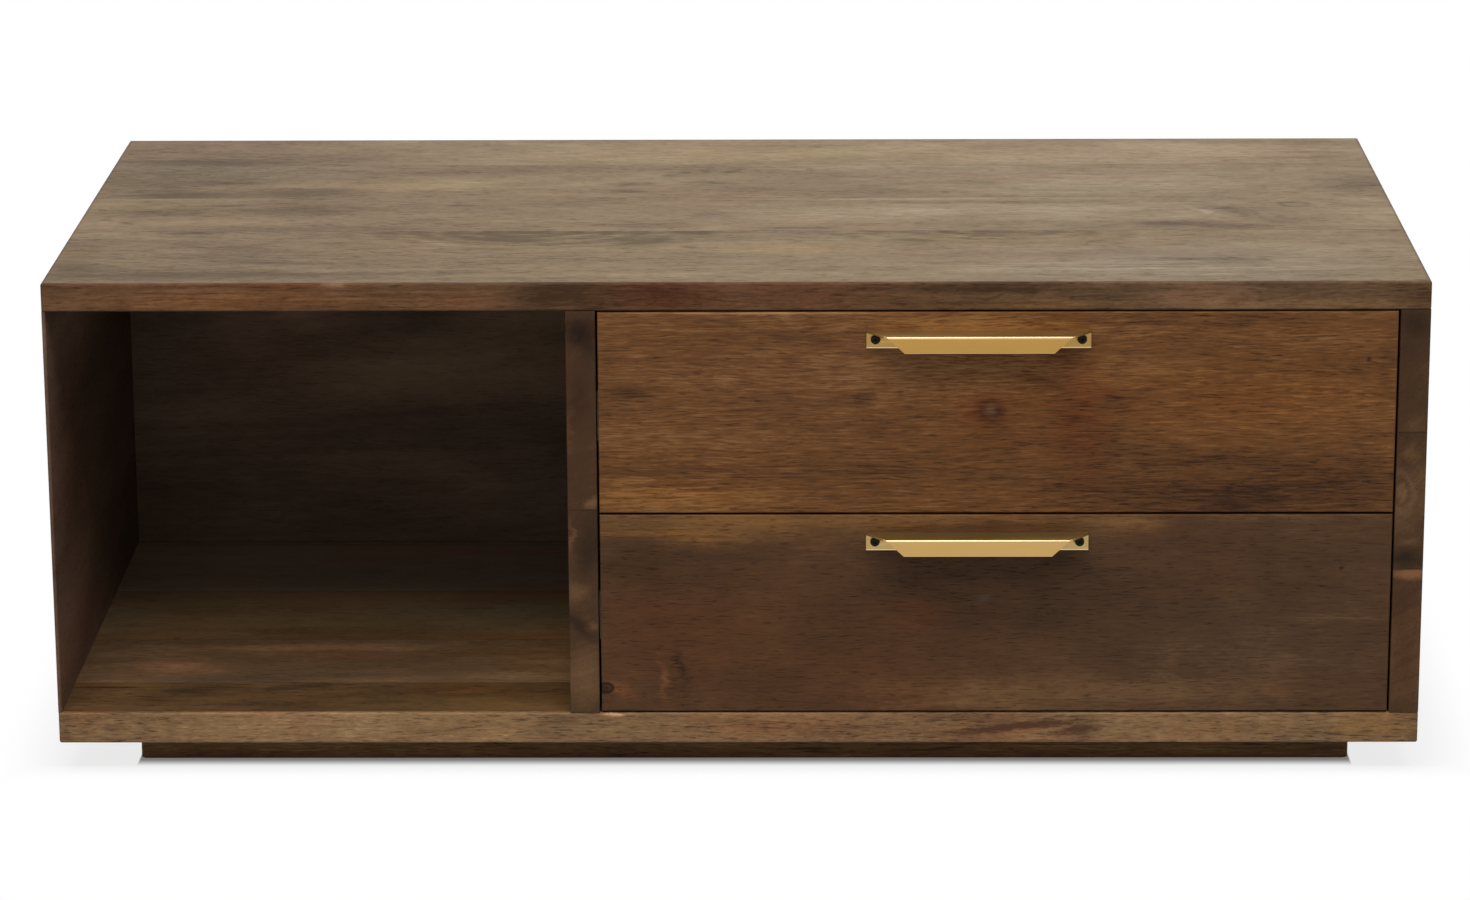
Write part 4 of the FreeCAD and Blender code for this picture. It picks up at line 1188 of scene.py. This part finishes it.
# %% Drawer boxes and dowels
PALE_WOOD = Stain((0.22, 0.125, 0.060), (0.42, 0.265, 0.140), (0.58, 0.40, 0.235))
PLY = Stain((0.30, 0.19, 0.10), (0.48, 0.335, 0.195), (0.62, 0.47, 0.30))
BOX_GRAINS = {"left_side": "yzx", "right_side": "yzx", "back": "xzy"}
for number, drawer in enumerate(("upper", "lower")):
    for side, axes in BOX_GRAINS.items():
        finish_board(f"{drawer}_drawer_{side}", axes, seed_of("box_side", number) + len(side), PALE_WOOD)
    finish_board(f"{drawer}_drawer_bottom", "xyz", seed_of("box_bottom", number), PLY, roughness=0.55)
    finish_board(f"{drawer}_drawer_dowels", "yxz", seed_of("box_dowel", number), PLY, roughness=0.60)
finish_board("carcass_dowels", "zxy", seed_of("carcass_dowel"), PLY, roughness=0.60)
print("unstained pieces of each drawer:", len(BOX_GRAINS) + 2)

# %% [markdown]
# Plated steel shows where its polish varies. Scratches could be modelled, but they are far finer than a
# mesh: fine strokes and faint clouds in the tone and the roughness do it. The same recipe, without the
# metal, makes the moulded plastic of the glides and the black paint of the pulls' screws.

# %% Metal and plastic
METAL = {"Metallic": 1.0}
DARKENED = 0.80
BRIGHTENED = 1.20
CLOUD_SCALE = (25.0, 25.0, 25.0)
CLOUD_SEED = 3.0
CLOUD_DETAIL = 3.0
STROKE_DETAIL = 2.0
TONE_SPREAD = 0.08
POLISH_SPREAD = 0.15
METAL_RELIEF = 0.00001


def metal(name, colour, rough, seed, brush, fixed=METAL):
    """Makes a metal whose tone and polish change a little along brush strokes and in faint clouds."""
    material, place = new_material(name)
    strokes = noise(place, brush, seed, STROKE_DETAIL)
    clouds = noise(place, CLOUD_SCALE, seed + CLOUD_SEED, CLOUD_DETAIL)
    tone = (strokes - 0.5) * TONE_SPREAD + (clouds - 0.5) * TONE_SPREAD
    dark = tuple(channel * DARKENED for channel in colour)
    pale = tuple(channel * BRIGHTENED for channel in colour)
    base = tone.node("ShaderNodeValToRGB", {"stops": [(0.0, dark), (1.0, pale)]}, {"Fac": tone + 0.5})
    roughness = (clouds - 0.5) * POLISH_SPREAD + rough
    shade(place, {"Base Color": base, "Roughness": roughness}, fixed, strokes, METAL_RELIEF)
    return material


steel = metal("zinc_steel", (0.22, 0.22, 0.225), rough=0.38, seed=2.0, brush=(900.0, 30.0, 900.0))
screw_steel = metal("screw_steel", (0.45, 0.45, 0.44), rough=0.42, seed=3.0, brush=(400.0, 400.0, 400.0))
plastic = metal("glide_plastic", (0.020, 0.020, 0.022), rough=0.55, seed=5.0, brush=(300.0, 300.0, 300.0),
                fixed={"Metallic": 0.0, "Specular IOR Level": 0.3})
runners = [node for node in frame["nodes"] if "runner" in node and "screws" not in node]
screws = [node for node in frame["nodes"] if node.endswith("screws") and "pull" not in node]
for node in runners:
    dress(node, steel)
for node in screws:
    dress(node, screw_steel)
dress("glides", plastic)
print("runner parts:", len(runners), "and nodes of hidden screws:", len(screws))

# %% [markdown]
# The pulls are strips of brass sheet, folded twice. Their zones carry painted light and shade: the fold is
# paler, so that the lamp's real reflection there comes out whiter as a painted highlight, the lower rim
# has a painted highlight, the flange's top painted light, and the plate behind the lip painted shade.
# Faces with materials of their own would give each zone a hard border, so each is a soft step along Y or
# Z instead, measured from the pull's own box.

# %% Folded brass
FOLD_ZONE = 0.0030
RIM_ZONE = 0.0014
SHELF_SKIN = 0.0004
ZONE_BORDER = 0.0012
BRASS_BRUSH = (30.0, 900.0, 900.0)
BRASS_CLOUD_SCALE = (14.0, 40.0, 40.0)
BRASS_SEED = 1.0
BRASS_STROKES = 0.10
BRASS_CLOUDS = 0.22
BRASS_POLISH_SPREAD = 0.10
BRASS_ROUGHNESS = 0.34
# Painted shade behind the lip, painted highlights on the fold and the lower rim, and painted light on the
# flange's top:
PAINTED_SHADE_PLATE = (0.80, 0.86, 0.96)
PAINTED_FOLD_HIGHLIGHT = (0.50, 0.340, 0.170, 1.0)
PAINTED_SHELF_LIGHT = (0.62, 0.45, 0.190, 1.0)
PAINTED_RIM_HIGHLIGHT = (0.82, 0.60, 0.35, 1.0)
# The lower pull is the same brass as the upper one; its paler ramp is painted light.
BRASS = {
    "upper": ((0.36, 0.20, 0.048), (0.475, 0.275, 0.074), (0.60, 0.38, 0.130)),
    "lower": ((0.43, 0.26, 0.080), (0.560, 0.355, 0.123), (0.69, 0.47, 0.195)),
}


def folded_brass(name, colours, lip_y, low_z, fold_z):
    """Makes satin brass for a pull whose lip stands at lip_y and reaches from low_z to its fold at fold_z."""
    material, place = new_material(name)
    y, z = axes_of(place)[1:]
    strokes = noise(place, BRASS_BRUSH, BRASS_SEED, STROKE_DETAIL)
    clouds = noise(place, BRASS_CLOUD_SCALE, BRASS_SEED + CLOUD_SEED, CLOUD_DETAIL)
    tone = (strokes - 0.5) * BRASS_STROKES + (clouds - 0.5) * BRASS_CLOUDS + 0.5
    base = tone.node("ShaderNodeValToRGB", {"stops": list(zip(RAMP_PLACES, colours))}, {"Fac": tone})
    below, behind = fold_z - FOLD_ZONE, lip_y + FOLD_ZONE
    # Painted shade on the plate behind the lip, then painted highlights and light on the fold, the rim and
    # the shelf.
    base = tint(base, step(y, behind, behind + FOLD_ZONE), PAINTED_SHADE_PLATE)
    fold = step(z, below, below + ZONE_BORDER) * step(y, behind, lip_y, 0.0, 1.0)
    shelf = step(z, fold_z - SHELF_SKIN, fold_z) * step(y, behind, behind + ZONE_BORDER)
    rim = step(z, low_z + RIM_ZONE, low_z, 0.0, 1.0)
    for share, colour in ((fold, PAINTED_FOLD_HIGHLIGHT), (shelf, PAINTED_SHELF_LIGHT), (rim, PAINTED_RIM_HIGHLIGHT)):
        base = base.node("ShaderNodeMix", {"data_type": "RGBA"}, {"Factor": share, "A": base, "B": colour},
                         MIX_COLOUR_OUT)
    roughness = (clouds - 0.5) * BRASS_POLISH_SPREAD + BRASS_ROUGHNESS
    shade(place, {"Base Color": base, "Roughness": roughness}, METAL, strokes, METAL_RELIEF)
    return material


print("kinds of brass:", list(BRASS))

# %% [markdown]
# The frame has the pulls' exact shape, but every rim of it is perfectly sharp, and real sheet has a tiny
# rounding that catches the light as a pale line. A Bevel modifier would do it too, but any bevel needs clean
# geometry, and the CAD mesh is loose triangles. So a copy is merged and its flat faces are joined, and then
# a bmesh bevel rounds the rims.

# %% Pieces that stand for CAD nodes
SHARP = math.radians(35.0)
FLAT = math.radians(1.0)
MERGE_DISTANCE = 0.000002


def worked_copy(node):
    """Returns a bmesh copy of a CAD node, merged and with its flat faces joined."""
    bm = bmesh.new()
    bm.from_mesh(frame["nodes"][node].data)
    bmesh.ops.remove_doubles(bm, verts=bm.verts, dist=MERGE_DISTANCE)
    bmesh.ops.dissolve_limit(bm, angle_limit=FLAT, verts=bm.verts, edges=bm.edges)
    return bm


def finish_piece(bm, name, material, body, slot, *nodes):
    """Turns a bmesh into a smooth-shaded piece that rides on a body and stands for CAD nodes."""
    mesh = bpy.data.meshes.new(name)
    bm.to_mesh(mesh)
    bm.free()
    mesh.materials.append(material)
    mesh.shade_smooth()
    mesh.set_sharp_from_angle(angle=SHARP)
    piece = bpy.data.objects.new(name, mesh)
    scene.collection.objects.link(piece)
    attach(piece, body)
    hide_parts(*nodes)
    print(name, "has", len(mesh.polygons), "faces")


print("edges over", round(math.degrees(SHARP)), "degrees stay sharp")

# %% [markdown]
# The rounding is 0.4 mm wide and has two segments: enough for a soft line of light along a rim, with few
# faces. Only sharp edges get it, so that a bend which is round already stays as it is.

# %% Pulls with softened rims
PULL_RIM = 0.0004

for drawer, colours in BRASS.items():
    low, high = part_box(f"{drawer}_pull")
    brass = folded_brass(f"satin_brass_{drawer}", colours, low.y, low.z, high.z)
    bm = worked_copy(f"{drawer}_pull")
    rims = [edge for edge in bm.edges if edge.is_manifold and edge.calc_face_angle() > SHARP]
    bmesh.ops.bevel(bm, geom=rims, offset=PULL_RIM, segments=2, profile=0.5, affect="EDGES", material=-1,
                    clamp_overlap=True)
    finish_piece(bm, f"{drawer}_brass_pull", brass, body_of[f"{drawer}_pull"], "pull_brass", f"{drawer}_pull")

# %% [markdown]
# Each pull is held by two black pan-head screws. A pan head is a shape of revolution, so half its outline is
# drawn and spun about the screw's axis. The cross recess isn't round. A boolean could cut it, but would
# leave long thin faces, so it starts as a small grid of nine cells, of which the middle one and its four
# neighbours are pressed in and narrowed, as a punch does it.

# %% Outline and recess of a screw
HEAD_RADIUS = 0.004
HEAD_HEIGHT = 0.0024
HEAD_ROUND = 0.001
SHANK_RADIUS = 0.002
SOCKET_RIM = 0.0025
CROSS_HALF = 0.0017
BAR_HALF = 0.00042
CROSS_DEPTH = 0.0013
CROSS_NARROWING = 0.55
ROUND_STEPS = 4


def head_outline(shank_length):
    """Returns half the outline of a screw as radius and height, from the socket's rim to the tip."""
    quarter = [math.pi / 2 * number / ROUND_STEPS for number in range(ROUND_STEPS + 1)]
    arc = [(HEAD_RADIUS - HEAD_ROUND + HEAD_ROUND * math.sin(angle),
            HEAD_HEIGHT - HEAD_ROUND + HEAD_ROUND * math.cos(angle)) for angle in quarter]
    shank = [(SHANK_RADIUS, 0.0), (SHANK_RADIUS, SHANK_RADIUS - shank_length), (0.0, -shank_length)]
    return [(SOCKET_RIM, HEAD_HEIGHT), *arc, (HEAD_RADIUS, 0.0), *shank]


def cross_recess(bm):
    """Adds a square plate with a cross pressed into it to an empty bmesh, and returns its outer rim."""
    plate = bmesh.ops.create_grid(bm, x_segments=3, y_segments=3, size=CROSS_HALF,
                                  matrix=Matrix.Translation((0.0, 0.0, HEAD_HEIGHT)))["verts"]
    for vert in plate:
        for axis in (0, 1):
            if abs(vert.co[axis]) < CROSS_HALF / 2:
                vert.co[axis] = math.copysign(BAR_HALF, vert.co[axis])
    rim = [edge for edge in bm.edges if edge.is_boundary]
    bars = [face for face in bm.faces if min(map(abs, face.calc_center_median()[:2])) < BAR_HALF]
    pressed = bmesh.ops.extrude_face_region(bm, geom=bars)["geom"]
    bmesh.ops.delete(bm, geom=bars, context="FACES")
    floor_verts = [item for item in pressed if isinstance(item, bmesh.types.BMVert)]
    bmesh.ops.scale(bm, vec=(CROSS_NARROWING, CROSS_NARROWING, 1.0), verts=floor_verts)
    bmesh.ops.translate(bm, vec=(0.0, 0.0, -CROSS_DEPTH), verts=floor_verts)
    return rim


print("a head's outline has", len(head_outline(HEAD_HEIGHT)), "points")

# %% [markdown]
# A bridge of faces joins the square rim of the pressed grid to the round rim of the spun head. Screws are
# never turned in to the same angle, so each gets a turn of its own. Both screws of a pull are one piece, as
# they are one node in the frame.

# %% Pull screws
SPIN_STEPS = 32
SPIN_MERGE = 0.000001
BLACKENED = {"Metallic": 0.0, "Specular IOR Level": 0.12}
SCREW_TURNS = {"upper": (24.0, 61.0), "lower": (8.0, 38.0)}


def pan_head_screw(place, turn, shank_length):
    """Returns a mesh of one screw whose head points to the front."""
    bm = bmesh.new()
    rim = cross_recess(bm)
    bmesh.ops.rotate(bm, matrix=Matrix.Rotation(math.radians(turn), 3, "Z"), verts=bm.verts)
    chain = [bm.verts.new((radius, 0.0, height)) for radius, height in head_outline(shank_length)]
    drawn = [bm.edges.new(pair) for pair in zip(chain, chain[1:])]
    bmesh.ops.spin(bm, geom=chain + drawn, axis=(0.0, 0.0, 1.0), cent=(0.0, 0.0, 0.0), angle=math.tau,
                   steps=SPIN_STEPS, use_merge=True)
    bmesh.ops.remove_doubles(bm, verts=bm.verts, dist=SPIN_MERGE)
    round_rim = [edge for edge in bm.edges if edge.is_boundary and edge not in rim]
    bmesh.ops.bridge_loops(bm, edges=rim + round_rim)
    bmesh.ops.recalc_face_normals(bm, faces=bm.faces)
    bmesh.ops.transform(bm, matrix=Matrix.Translation(place) @ Matrix.Rotation(math.pi / 2, 4, "X"),
                        verts=bm.verts)
    mesh = bpy.data.meshes.new("screw")
    bm.to_mesh(mesh)
    bm.free()
    return mesh


black = metal("black_screw", (0.0060, 0.0056, 0.0030), rough=0.42, seed=4.0, brush=(400.0, 400.0, 400.0),
              fixed=BLACKENED)
for drawer, turns in SCREW_TURNS.items():
    low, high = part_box(f"{drawer}_pull_screws")
    pair = bmesh.new()
    for x, turn in zip((low.x + HEAD_RADIUS, high.x - HEAD_RADIUS), turns):
        place = (x, low.y + HEAD_HEIGHT, (low.z + high.z) / 2)
        screw = pan_head_screw(place, turn, high.y - place[1])
        pair.from_mesh(screw)
        bpy.data.meshes.remove(screw)
    finish_piece(pair, f"{drawer}_pan_head_screws", black, body_of[f"{drawer}_pull_screws"], "black_screw",
                 f"{drawer}_pull_screws")
